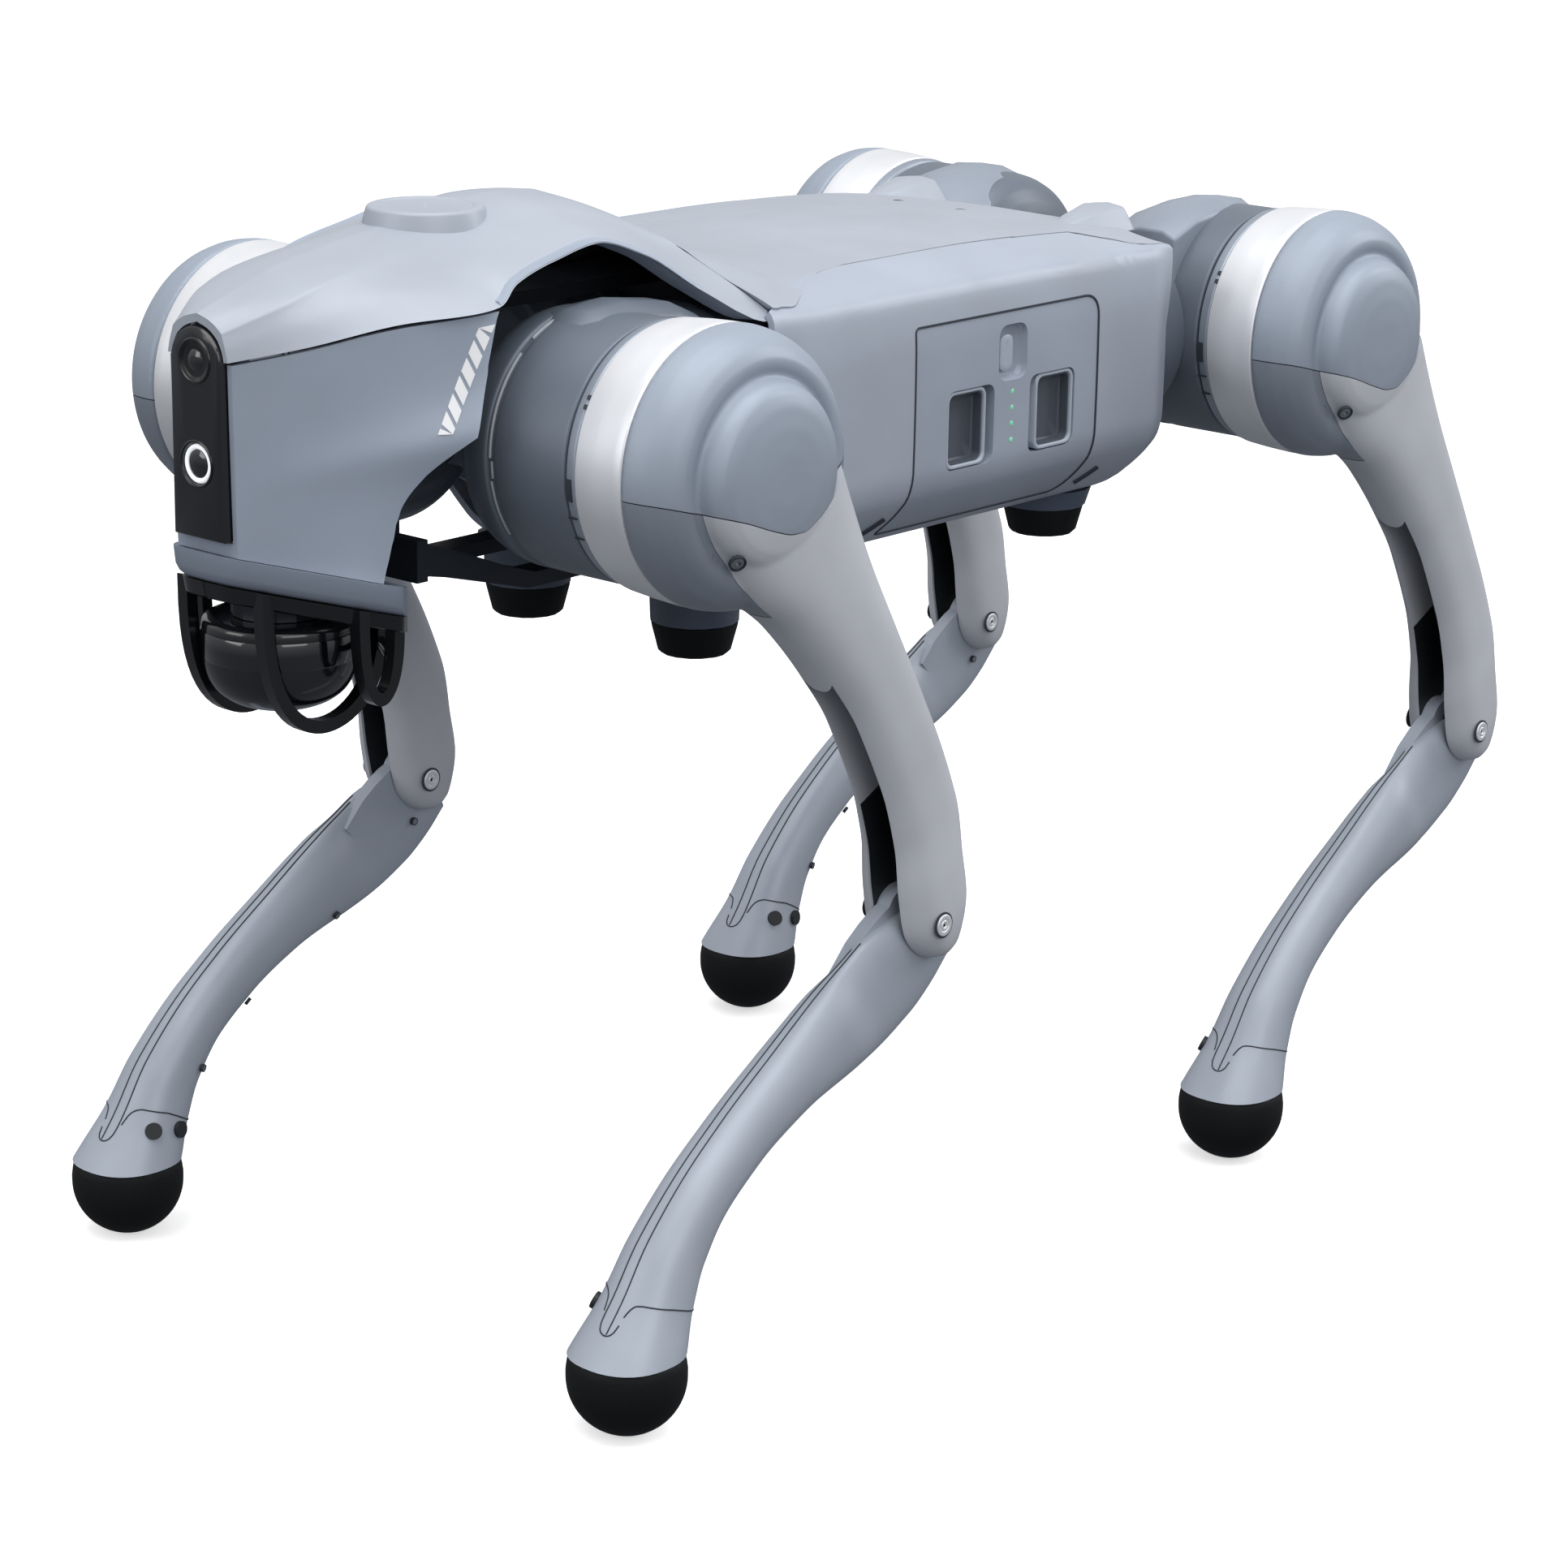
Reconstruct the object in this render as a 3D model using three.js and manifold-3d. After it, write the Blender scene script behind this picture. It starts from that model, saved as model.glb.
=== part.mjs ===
// Quadruped robot dog, standing. Millimetres, +X towards the head, +Y to the robot's left, +Z up.
// The origin is on the floor, under the middle of the robot.
import * as THREE from 'three';
import { mergeVertices } from 'three/addons/utils/BufferGeometryUtils.js';
import Module from 'manifold-3d';

const wasm = await Module();
wasm.setup();

// ---------- Driving dimensions ----------
const GAP = 0.3;                 // clearance between neighbouring pieces
const HIP_X = 193.4;             // hip joints, ahead of and behind the middle of the trunk
const HIP_Y = 46.5;              // hip joints, to each side
const LEG_OFFSET = 95.5;         // from the hip joint out to the plane of the leg
const THIGH = 213;               // thigh axis to knee axis
const CALF = 213;                // knee axis to foot centre
const FOOT_R = 22.9;             // rubber foot
const THIGH_REST = 26.5;         // thigh leans back from vertical, degrees
const CALF_REST = 74.5;          // calf folds forward from the thigh line, degrees
const MIDDLE_X = -13.6;          // puts the middle of the robot's length on the origin

const SHELL = 3;                 // wall of the plastic covers
const TRUNK_FRONT = 128;         // ends of the trunk shell
const TRUNK_REAR = -126;
const HALF_WIDTH = 97;           // trunk shell at its widest
const GROOVE_Z = 40;             // joint between trunk shell and back cover
const BELLY_Z = -65;
const RING_R = 50;               // dark hip ring, outer radius
const MOTOR_R = 53.4;            // silver motor ring, outer radius
const LINKAGE_R = 17;            // radius of the knee crank and of the calf's lever
const CHANNEL = 7.3;             // half-width of the slot inside the thigh
const ROUND = 20;                // sides on a large turned piece
const SMALL = 10;                // sides on a pin

const rad = THREE.MathUtils.degToRad;
const SHIN = rad(CALF_REST - THIGH_REST);
const HIP_Z = THIGH * Math.cos(rad(THIGH_REST)) + CALF * Math.cos(SHIN) + FOOT_R;

// ---------- Finishes ----------
function finish(color, roughness, metalness = 0) {
  return new THREE.MeshStandardMaterial({ color, roughness, metalness });
}
const FINISH = {
  shell: finish(0x8b97ab, 0.45),
  thigh: finish(0xb3b6bc, 0.5),
  calf: finish(0xa3adbd, 0.45, 0.1),
  darkMotor: finish(0x4d545f, 0.42, 0.3),
  silver: finish(0xc9c9c9, 0.3, 0.8),
  black: finish(0x0d0e11, 0.25),
  rubber: finish(0x1a1c20, 0.75),
  steel: finish(0x8d9097, 0.35, 0.9),
  frame: finish(0x3c424c, 0.5, 0.4),
  glass: finish(0x07080a, 0.08),
  lamp: finish(0xe9edf0, 0.15),
  pad: finish(0x5b6474, 0.5),
  board: finish(0x24523c, 0.6),
};

// ---------- Solids ----------
function signedVolume(position, index) {
  const [a, b, c] = [new THREE.Vector3(), new THREE.Vector3(), new THREE.Vector3()];
  let sum = 0;
  for (let i = 0; i < index.count; i += 3) {
    a.fromBufferAttribute(position, index.getX(i));
    b.fromBufferAttribute(position, index.getX(i + 1));
    c.fromBufferAttribute(position, index.getX(i + 2));
    sum += a.dot(b.cross(c));
  }
  return sum / 6;
}

// Merges shared corners and turns the faces outward.
function clean(geometry) {
  const bare = geometry.clone();
  bare.deleteAttribute('normal');
  bare.deleteAttribute('uv');
  const merged = mergeVertices(bare, 1e-4);
  if (signedVolume(merged.attributes.position, merged.index) < 0) {
    const flipped = Array.from(merged.index.array).reverse();
    merged.setIndex(flipped);
  }
  return merged;
}

function solid(geometry) {
  const merged = clean(geometry);
  return new wasm.Manifold(new wasm.Mesh({
    numProp: 3,
    vertProperties: new Float32Array(merged.attributes.position.array),
    triVerts: new Uint32Array(merged.index.array),
  }));
}

function geometryOf(manifold) {
  const mesh = manifold.getMesh();
  const geometry = new THREE.BufferGeometry();
  const corners = new Float32Array(mesh.vertProperties);
  geometry.setAttribute('position', new THREE.BufferAttribute(corners, 3));
  geometry.setIndex(new THREE.BufferAttribute(new Uint32Array(mesh.triVerts), 1));
  return geometry;
}

function block([x0, x1], [y0, y1], [z0, z1]) {
  const box = new THREE.BoxGeometry(x1 - x0, y1 - y0, z1 - z0);
  return solid(box.translate((x0 + x1) / 2, (y0 + y1) / 2, (z0 + z1) / 2));
}

// Straight round bar between two points.
function bar(from, to, radius, endRadius = radius, sides = SMALL) {
  const start = new THREE.Vector3(...from);
  const end = new THREE.Vector3(...to);
  const along = end.clone().sub(start);
  const cylinder = new THREE.CylinderGeometry(endRadius, radius, along.length(), sides);
  const up = new THREE.Vector3(0, 1, 0);
  const turn = new THREE.Quaternion().setFromUnitVectors(up, along.clone().normalize());
  cylinder.applyQuaternion(turn);
  return solid(cylinder.translate(...start.add(end).multiplyScalar(0.5).toArray()));
}

// Turned piece about the Y axis. The profile is a list of [radius, y].
function turned(profile, sides = ROUND) {
  const points = profile.map(([r, y]) => new THREE.Vector2(r, y));
  return solid(new THREE.LatheGeometry(points, sides));
}

// Skin through rings with equal numbers of points, closed with flat ends.
function loft(rings) {
  const count = rings[0].length;
  const points = rings.flat();
  const faces = [];
  for (let k = 0; k + 1 < rings.length; k += 1) {
    for (let i = 0; i < count; i += 1) {
      const a = k * count + i;
      const b = k * count + ((i + 1) % count);
      faces.push(a, b, b + count, a, b + count, a + count);
    }
  }
  const last = (rings.length - 1) * count;
  for (const face of capFaces(rings[0])) faces.push(face[0], face[2], face[1]);
  for (const face of capFaces(rings.at(-1))) faces.push(...face.map((i) => i + last));
  const geometry = new THREE.BufferGeometry();
  geometry.setAttribute('position', new THREE.Float32BufferAttribute(points.flat(), 3));
  geometry.setIndex(faces);
  return solid(geometry);
}

// Triangles of a flat ring, turned the same way round as the ring itself.
function capFaces(ring) {
  const normal = new THREE.Vector3();
  ring.forEach((p, i) => {
    const q = ring[(i + 1) % ring.length];
    normal.x += (p[1] - q[1]) * (p[2] + q[2]);
    normal.y += (p[2] - q[2]) * (p[0] + q[0]);
    normal.z += (p[0] - q[0]) * (p[1] + q[1]);
  });
  const size = [Math.abs(normal.x), Math.abs(normal.y), Math.abs(normal.z)];
  const drop = size.indexOf(Math.max(...size));
  const [u, v] = [(drop + 1) % 3, (drop + 2) % 3];
  const flat = ring.map((p) => new THREE.Vector2(p[u], p[v]));
  const forward = THREE.ShapeUtils.area(flat) > 0;
  const faces = THREE.ShapeUtils.triangulateShape(flat, []);
  return faces.map(([a, b, c]) => {
    const turn = flat[b].clone().sub(flat[a]).cross(flat[c].clone().sub(flat[a])) > 0;
    return turn === forward ? [a, b, c] : [a, c, b];
  });
}

// Height of a line of [x, height] points at one x, smoothed between them.
function along(line, x) {
  const sorted = [...line].sort((p, q) => p[0] - q[0]);
  if (x <= sorted[0][0]) return sorted[0][1];
  for (let i = 1; i < sorted.length; i += 1) {
    const [x0, a] = sorted[i - 1];
    const [x1, b] = sorted[i];
    if (x <= x1) return THREE.MathUtils.lerp(a, b, (x - x0) / (x1 - x0));
  }
  return sorted.at(-1)[1];
}

// ---------- Assembly ----------
const dog = new THREE.Group();
dog.position.set(MIDDLE_X, 0, HIP_Z);

function add(name, shape, material, parent = dog, side = 1) {
  const geometry = geometryOf(shape);
  if (side < 0) geometry.scale(1, -1, 1);
  const mesh = new THREE.Mesh(clean(geometry), material);
  mesh.name = name;
  parent.add(mesh);
  return mesh;
}

// ---------- Trunk covers ----------
const TOP_LINE = [
  [332, 57], [309, 64.5], [295, 69], [281, 71.5], [244, 77], [231, 78.5], [209, 81], [185, 83.5],
  [165, 82], [146, 75], [128, 64], [110, 57], [60, 55], [0, 57], [-79, 53], [-109, 50], [-126, 47],
];
// The shoulder crease, where the roof turns down into the side.
const CREASE_Y = [
  [332, 14], [309, 25.5], [295, 29], [281, 29.5], [244, 34], [231, 40], [209, 47], [185, 48],
  [165, 50], [146, 56], [128, 70], [110, 74], [0, 74], [-79, 70], [-126, 68],
];
const CREASE_Z = [
  [332, 50], [309, 59], [295, 64.5], [281, 66], [244, 69.5], [231, 70.5], [209, 74], [185, 77],
  [165, 75], [146, 68], [128, 57], [110, 51.5], [0, 51.5], [-79, 49.5], [-126, 45.5],
];
const EDGE_Y = [
  [332, 16], [309, 33], [281, 49], [244, 64], [231, 60], [209, 57.5], [185, 57], [165, 63],
  [146, 74], [128, 90], [110, 94], [-100, 94], [-126, 91],
];
const EDGE_Z = [
  [332, 41], [309, 46], [281, 52.5], [244, 56.5], [231, 63], [209, 68.5], [185, 72.5], [165, 66],
  [146, 52], [128, GROOVE_Z + GAP], [-126, GROOVE_Z + GAP],
];
const COVER_STATIONS = [332, 309, 295, 281, 244, 231, 209, 185, 165, 146, 128, 110, 60, 0, -79, -126];
const BOSS = { x: 219, top: 84, r: 22 };

// Half of the cover's section: from the ridge out over the crease and down to the edge.
function coverArc(x, inset) {
  const mix = THREE.MathUtils.lerp;
  const top = along(TOP_LINE, x) - inset;
  const edgeY = along(EDGE_Y, x) - inset;
  const edgeZ = along(EDGE_Z, x);
  const creaseY = along(CREASE_Y, x) - inset * 0.6;
  const creaseZ = Math.max(along(CREASE_Z, x) - inset, edgeZ + 1);
  return [
    [x, 0, top],
    [x, creaseY * 0.45, mix(top, creaseZ, 0.2)],
    [x, creaseY * 0.8, mix(top, creaseZ, 0.6)],
    [x, creaseY, creaseZ],
    [x, mix(creaseY, edgeY, 0.62), mix(creaseZ, edgeZ, 0.42)],
    [x, edgeY, edgeZ],
  ];
}

function coverRing(x) {
  const outer = coverArc(x, 0);
  const inner = coverArc(x, SHELL);
  const left = (arc) => arc.slice(1);
  const right = (arc) => arc.slice(1).map(([px, y, z]) => [px, -y, z]).reverse();
  return [...right(outer), outer[0], ...left(outer), ...left(inner).reverse(), inner[0],
    ...right(inner).reverse()];
}

const cover = loft(COVER_STATIONS.map(coverRing));

// Everything ahead of the slanting joint between the head cover and the back cover.
function aheadOfSeam(shift) {
  const low = [123 + shift, 42];
  const high = [157 + shift, 86];
  const slope = (high[0] - low[0]) / (high[1] - low[1]);
  const at = (z) => low[0] + (z - low[1]) * slope;
  const outline = [[at(0), 0], [400, 0], [400, 140], [at(140), 140]];
  return loft([-150, 150].map((y) => outline.map(([x, z]) => [x, y, z])));
}

const SENSOR_HALF = 13.5;        // camera panel
const SENSOR_TOP = 53;
const SENSOR_BOTTOM = -25;

function panelShape(grow, x0, x1) {
  const r = SENSOR_HALF + grow;
  const centre = SENSOR_TOP - SENSOR_HALF;
  const body = block([x0, x1], [-r, r], [SENSOR_BOTTOM - grow, centre]);
  return body.add(bar([x0, 0, centre], [x1, 0, centre], r, r, 20));
}

function addCovers() {
  const boss = bar([BOSS.x, 0, 76.5], [BOSS.x, 0, BOSS.top], BOSS.r + 2, BOSS.r, 24);
  const front = cover.intersect(aheadOfSeam(GAP / 2)).add(boss);
  add('head_cover', front.subtract(panelShape(GAP, 300, 345)), FINISH.shell);
  const screwHoles = [-1, 1].map((s) => bar([-79, s * 17, 40], [-79, s * 17, 70], 1.6));
  let back = cover.subtract(aheadOfSeam(-GAP / 2));
  for (const hole of screwHoles) back = back.subtract(hole);
  add('back_cover', back, FINISH.shell);
}

// ---------- Face ----------
const NOSE_X = 331;
const FACE_PLAN = [[330.5, 16.4], [309, 32.6], [295, 40.6], [281, 48.6], [244, 63.4]];
const FACE_FOOT = [[329, 16.2], [318, 25], [304, 36], [291, 46], [275, 54]];
const FACE_LOW = -30;             // lower edge of the face at the nose
const CHIN_SLOPE = 0.26;         // the chin runs lower towards the back
const FACE_RECESS = 325;
const FACE_SEAM = 1.6;           // joint under the head cover

function faceRing(level) {
  const side = (inset) => FACE_PLAN.map(([x, y], i) => {
    const [footX, footY] = FACE_FOOT[i];
    const t = level ** 0.7;
    const top = along(EDGE_Z, x) - FACE_SEAM;
    return [
      THREE.MathUtils.lerp(footX, x, t) - inset * 0.7,
      THREE.MathUtils.lerp(footY, y, t) - inset * 0.75,
      THREE.MathUtils.lerp(FACE_LOW - CHIN_SLOPE * (NOSE_X - footX), top, level),
    ];
  });
  const mirror = (points) => points.map(([x, y, z]) => [x, -y, z]).reverse();
  const outer = side(0);
  const inner = side(SHELL + 0.5);
  return [...mirror(outer), ...outer, ...[...inner].reverse(), ...mirror([...inner].reverse())];
}

function addFace() {
  const levels = [0, 0.2, 0.45, 0.7, 1];
  const slot = block([FACE_RECESS - 1, 345], [-13.8, 13.8], [SENSOR_BOTTOM - GAP, 70]);
  const web = block([318.5, 324], [-20.5, 20.5], [FACE_LOW, 36]);
  const shell = loft(levels.map(faceRing)).add(web).subtract(slot);
  add('face_shell', shell, FINISH.shell);
}

const LENS_Z = 40;
const LAMP_Z = 2.5;

function addSensorPanel() {
  const lens = bar([327, 0, LENS_Z], [345, 0, LENS_Z], 9.3, 9.3, 20);
  const lamp = bar([327, 0, LAMP_Z], [345, 0, LAMP_Z], 8.3, 8.3, 20);
  const slab = panelShape(0, FACE_RECESS, 333.5);
  add('camera_panel', slab.subtract(lens).subtract(lamp), FINISH.black);
  const barrel = turned([[0, 0], [9, 0], [9, 4.5], [6.5, 5.5], [4.6, 4.6], [0, 5.8]], 20);
  const bulb = turned([[0, 0], [8, 0], [8, 4.6], [6.6, 6], [3, 6.8], [0, 7]], 20);
  const turn = (shape, z) => {
    const geometry = geometryOf(shape);
    geometry.rotateZ(-Math.PI / 2);
    return solid(geometry.translate(327 + GAP, 0, z));
  };
  add('camera_lens', turn(barrel, LENS_Z), FINISH.glass);
  add('head_light', turn(bulb, LAMP_Z), FINISH.lamp);
}

// ---------- Chin, guard and scanner ----------
const CHIN_TOP = FACE_LOW - GAP;
const CHIN_LOW = -41;
const CHIN_PLAN = [[334, 0], [333, 12], [322, 26.5], [307, 39], [292, 49.5], [284, 53], [279, 50]];

function chinPoint(x, y, z) {
  return [x, y, z - CHIN_SLOPE * (NOSE_X - x)];
}

function planRing(z, inset) {
  const left = CHIN_PLAN.map(([x, y]) => chinPoint(x - inset, Math.max(0, y - inset * 0.9), z));
  const right = left.slice(1).map(([x, y, w]) => [x, -y, w]).reverse();
  return [...right, ...left];
}

function addChin() {
  const outer = loft([planRing(CHIN_LOW, 3), planRing(CHIN_LOW + 4, 0.5), planRing(CHIN_TOP, 0)]);
  const hollow = loft([planRing(CHIN_LOW - 1, 7), planRing(CHIN_TOP + 1, 6)]);
  add('chin_ring', outer.subtract(hollow), FINISH.shell);
}

// One flat hoop of the guard, from the front of the band round under the scanner to its back.
function hoop({ y, front, back, low }) {
  const half = (front - back) / 2;
  const middle = (front + back) / 2;
  const steps = 7;
  const arc = (inset) => Array.from({ length: steps + 1 }, (_, i) => {
    const t = Math.PI * (i / steps);
    const x = middle + (half - inset) * Math.cos(t);
    const top = chinPoint(x, y, CHIN_LOW - GAP)[2];
    return [x, top - (top - low - inset) * Math.sin(t) ** 0.7];
  });
  const outline = [...arc(0), ...arc(5).reverse()];
  return loft([y - HOOP_HALF, y + HOOP_HALF].map((w) => outline.map(([x, z]) => [x, w, z])));
}

const HOOP_HALF = 2.6;
const INNER_HOOP = { y: 20.7, front: 324, back: 262, low: -101 };
const OUTER_HOOP = { y: 43, front: 297.5, back: 275, low: -88 };
const SCAN_X = 295;
const SCAN_R = 29;
const SCAN_TOP = -59;

function addGuard() {
  const top = CHIN_LOW - GAP;
  const band = loft([planRing(top - 6, 3.4), planRing(top, 2.4)]);
  const hole = loft([planRing(top - 7, 8.4), planRing(top + 1, 8.4)]);
  let guard = band.subtract(hole);
  for (const side of [-1, 1]) {
    guard = guard.add(hoop({ ...INNER_HOOP, y: side * INNER_HOOP.y }));
    guard = guard.add(hoop({ ...OUTER_HOOP, y: side * OUTER_HOOP.y }));
    guard = guard.add(bar([263, side * 20, -72], [279, side * 43, -72], 2.6));
  }
  guard = guard.add(bar([261.5, -21, -72], [261.5, 21, -72], 2.6));
  const upright = (profile) => {
    const geometry = geometryOf(turned(profile, 20)).rotateX(Math.PI / 2);
    return solid(geometry.translate(SCAN_X, 0, SCAN_TOP));
  };
  const room = upright([[0, 8], [SCAN_R + 0.6, 8], [SCAN_R + 0.6, -18.2], [25.6, -28.3], [14.4, -34.6], [0, -36.6]]);
  add('lidar_guard', guard.subtract(room), FINISH.black);
  const dome = upright([[0, 0], [SCAN_R - 3, 0], [SCAN_R, -3], [SCAN_R, -18], [25, -28], [14, -34], [0, -36]]);
  add('lidar_rotor', dome, FINISH.black);
}

// ---------- Trunk shell ----------
const BATTERY = { x: [-72, 46.5], y: [-48, 96.4], z: [-58, 28] };

function trunkHalf(inset) {
  const w = HALF_WIDTH - inset;
  const low = BELLY_Z + inset;
  return [[0, low], [62, low], [78 - inset * 0.5, -57 + inset], [90 - inset * 0.8, -46 + inset * 0.5],
    [w, -30], [w, 18], [w - 1, 32], [w - 3, GROOVE_Z]];
}

function trunkRing(x, squeeze) {
  const outer = trunkHalf(0);
  const inner = trunkHalf(SHELL);
  const at = ([y, z]) => [x, y * squeeze, z];
  const left = (half) => half.map(at);
  const right = (half) => half.slice(1).map(at).map(([px, y, z]) => [px, -y, z]).reverse();
  return [...right(outer), ...left(outer), ...left(inner).reverse(), ...right(inner).reverse()];
}

function grown([low, high], amount) {
  return [low - amount, high + amount];
}

function addTrunkShell() {
  const stations = [[TRUNK_REAR, 0.95], [TRUNK_REAR + 12, 1], [TRUNK_FRONT - 16, 1], [TRUNK_FRONT, 0.96]];
  let shell = loft(stations.map(([x, squeeze]) => trunkRing(x, squeeze)));
  const opening = block(grown(BATTERY.x, GAP), [60, 120], grown(BATTERY.z, GAP));
  shell = shell.subtract(opening);
  add('trunk_shell', shell, FINISH.shell);
}

// Solid filling of the trunk, kept a little inside the shell's outer or inner face.
function trunkFilling(inset) {
  const right = (half) => half.slice(1).map(([y, z]) => [-y, z]).reverse();
  const half = trunkHalf(inset);
  const outline = [...right(half), ...half];
  return loft([TRUNK_REAR, TRUNK_FRONT].map((x) => outline.map(([y, z]) => [x, y, z])));
}

// ---------- Chassis ----------
const BULKHEAD = 80;             // inner face of each motor bulkhead
const BULKHEAD_THICK = 5;
const BEAM_TOP = 49.4;           // top of the beam that carries the head
const HIP_MOTOR_R = 38;
const PADS = [
  { name: 'front_left', x: 118, y: 46, tip: -98.5 },
  { name: 'front_right', x: 118, y: -46, tip: -98.5 },
  { name: 'rear_left', x: -105, y: 46, tip: -86 },
  { name: 'rear_right', x: -105, y: -46, tip: -86 },
];

function addChassis() {
  const floorTop = -58.6;
  const floorLow = BELLY_Z + SHELL + GAP;
  let chassis = block([-122, 122], [-56, 56], [floorLow, floorTop]);
  for (const end of [-1, 1]) {
    const x = [end * BULKHEAD, end * (BULKHEAD + BULKHEAD_THICK)].sort((a, b) => a - b);
    const wall = block(x, [-90, 90], [-60, GROOVE_Z - 4]);
    chassis = chassis.add(wall.intersect(trunkFilling(SHELL + 1)));
  }
  chassis = chassis.add(block([-82, 82], [-54, -49], [-60, 30]));
  chassis = chassis.add(block([82, 254.5], [-16, 16], [44, BEAM_TOP]));
  chassis = chassis.add(block([80, 85], [-16, 16], [30, BEAM_TOP]));
  chassis = chassis.add(block([249, 254.5], [-16, 16], [-44, BEAM_TOP]));
  chassis = chassis.add(bar([SCAN_X, 0, SCAN_TOP + GAP], [SCAN_X, 0, -34], 18, 18, 16));
  chassis = chassis.add(block([249, 306], [-16, 16], [-38, -34]));
  chassis = chassis.add(block([249, 254.5], [-31, 31], [-50, -34]));
  const arm = [[100, floorLow], [196, floorLow], [240, -50], [254.5, -47], [254.5, -36], [236, -40],
    [205, -52], [192, -56], [100, -56]];
  for (const y of [-25, 25]) {
    chassis = chassis.add(loft([y - 6, y + 6].map((w) => arm.map(([x, z]) => [x, w, z]))));
  }
  const bore = (x, y) => bar([x, y, -100], [x, y, 0], 3.2);
  for (const pad of PADS) chassis = chassis.subtract(bore(pad.x, pad.y));
  add('chassis', chassis, FINISH.frame);
}

function addPads() {
  const flange = BELLY_Z - GAP;
  for (const pad of PADS) {
    const tip = pad.tip;
    const profile = [[0, 0], [22, 0], [19, -9], [18.6, tip - flange + 13], [17.4, tip - flange + 12],
      [15, tip - flange], [0, tip - flange]];
    const shape = geometryOf(turned(profile, 8)).rotateY(Math.PI / 8).rotateX(Math.PI / 2);
    add(`belly_pad_${pad.name}`, solid(shape.translate(pad.x, pad.y, flange)), FINISH.pad);
  }
}

function addBoard() {
  const sheet = block([-60, 60], [-45, 45], [32, 34]);
  const sink = block([-25, 25], [-22, 22], [33.5, 42]);
  const legs = [-55, 55].flatMap((x) => [-40, 40].map((y) => bar([x, y, 29], [x, y, 33], 3)));
  let board = sheet.add(sink);
  for (const leg of legs) board = board.add(leg);
  add('main_board', board, FINISH.board);
}

// ---------- Battery ----------
const LATCH = { front: [-4, 26], rear: [-57, -27], z: [-34, -1], depth: 9, travel: 4 };
const BUTTON = { x: -12.5, z: 12.5, r: 5 };

function addBattery() {
  const { x, y, z } = BATTERY;
  const face = y[1] - 0.6;
  let pack = block(x, y, z).intersect(trunkFilling(0.6));
  for (const side of ['front', 'rear']) {
    pack = pack.subtract(block(LATCH[side], [face - LATCH.depth, 120], LATCH.z));
  }
  const socket = bar([BUTTON.x, face - 5, BUTTON.z], [BUTTON.x, 120, BUTTON.z], BUTTON.r + GAP, BUTTON.r + GAP, 16);
  add('battery_pack', pack.subtract(socket), FINISH.shell);
  // Each latch is a finger cup that stands at the outer end of its pocket and slides inwards.
  const cup = ([a, b]) => {
    const outer = block([a, b], [face - LATCH.depth + GAP, face - 0.6], grown(LATCH.z, -GAP));
    const inner = block([a + 2, b - 2], [face - LATCH.depth + 2.5, face], grown(LATCH.z, -GAP - 2));
    return outer.subtract(inner);
  };
  const room = LATCH.travel + GAP;
  add('battery_latch_front', cup([LATCH.front[0] + room, LATCH.front[1] - GAP]), FINISH.pad);
  add('battery_latch_rear', cup([LATCH.rear[0] + GAP, LATCH.rear[1] - room]), FINISH.pad);
  const key = bar([BUTTON.x, face - 3, BUTTON.z], [BUTTON.x, face + 0.6, BUTTON.z], BUTTON.r, BUTTON.r - 0.5, 16);
  add('power_button', key, FINISH.shell);
}

// ---------- Legs ----------
// Leg pieces are shaped for the front left leg and mirrored from it: +x forward, +y outward.
const HEAD_PROFILE = [[0, -16], [53, -16], [52, -8], [48, 0], [41, 6.5], [34, 10], [32.5, 13.5],
  [24, 17], [0, 17.6]];
const CAP_SPLIT = -13;           // height of the joint between the cap and the thigh shell
// Thigh sections: height below the axis, front edge, rear edge, half-thickness.
const THIGH_SECTIONS = [
  [8, 36, -38, 15.5], [38, 27, -36, 15.5], [62, 15, -35, 15.5], [94, 5, -36.5, 15], [120, 0, -38, 14.6],
  [150, -1, -39, 15], [175, 2, -37.5, 16], [198, 9, -30, 17.8], [213, 12, -25, 18.4], [226, 8, -14, 17],
];
// Calf sections: forward offset, distance below the knee, tilt, half-depth, half-thickness.
const CALF_SECTIONS = [
  [-14.5, -3, 0, 16.5, 6.6], [-11.5, 11, -2, 20.5, 6.8], [-7.5, 26, -4, 23, 6.8],
  [-4, 40, -6, 22.5, 7.4], [2.5, 58, -12, 20, 11], [12.5, 90, -14, 15, 12],
  [18.5, 120, -10, 13, 12.4], [20.5, 145, 2, 12.5, 13.2], [18, 168, 18, 14, 14.6], [12.5, 186, 34, 16, 16.6],
  [6.6, 207.1, 48, 21.4, 21.4],
];

function superRing(count, power, place) {
  return Array.from({ length: count }, (_, i) => {
    const t = (2 * Math.PI * (i + 0.5)) / count;
    const bend = (v) => Math.sign(v) * Math.abs(v) ** power;
    return place(bend(Math.cos(t)), bend(Math.sin(t)));
  });
}

function thighBeam() {
  return loft(THIGH_SECTIONS.map(([down, front, rear, half]) => superRing(16, 0.75, (u, v) => [
    (front + rear) / 2 + ((front - rear) / 2) * u, v * half, -down,
  ])));
}

// Slot that the crank, the push rod and the calf's lever move in.
function thighSlot() {
  const head = bar([0, -CHANNEL, 0], [0, CHANNEL, 0], 23.5, 23.5, 20);
  const run = block([-23, 4], [-CHANNEL, CHANNEL], [-THIGH, 0]);
  const knee = bar([0, -CHANNEL, -THIGH], [0, CHANNEL, -THIGH], 22.6, 22.6, 20);
  const mouth = block([-20, 60], [-CHANNEL, CHANNEL], [-260, -145]);
  return head.add(run).add(knee).add(mouth);
}

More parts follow.
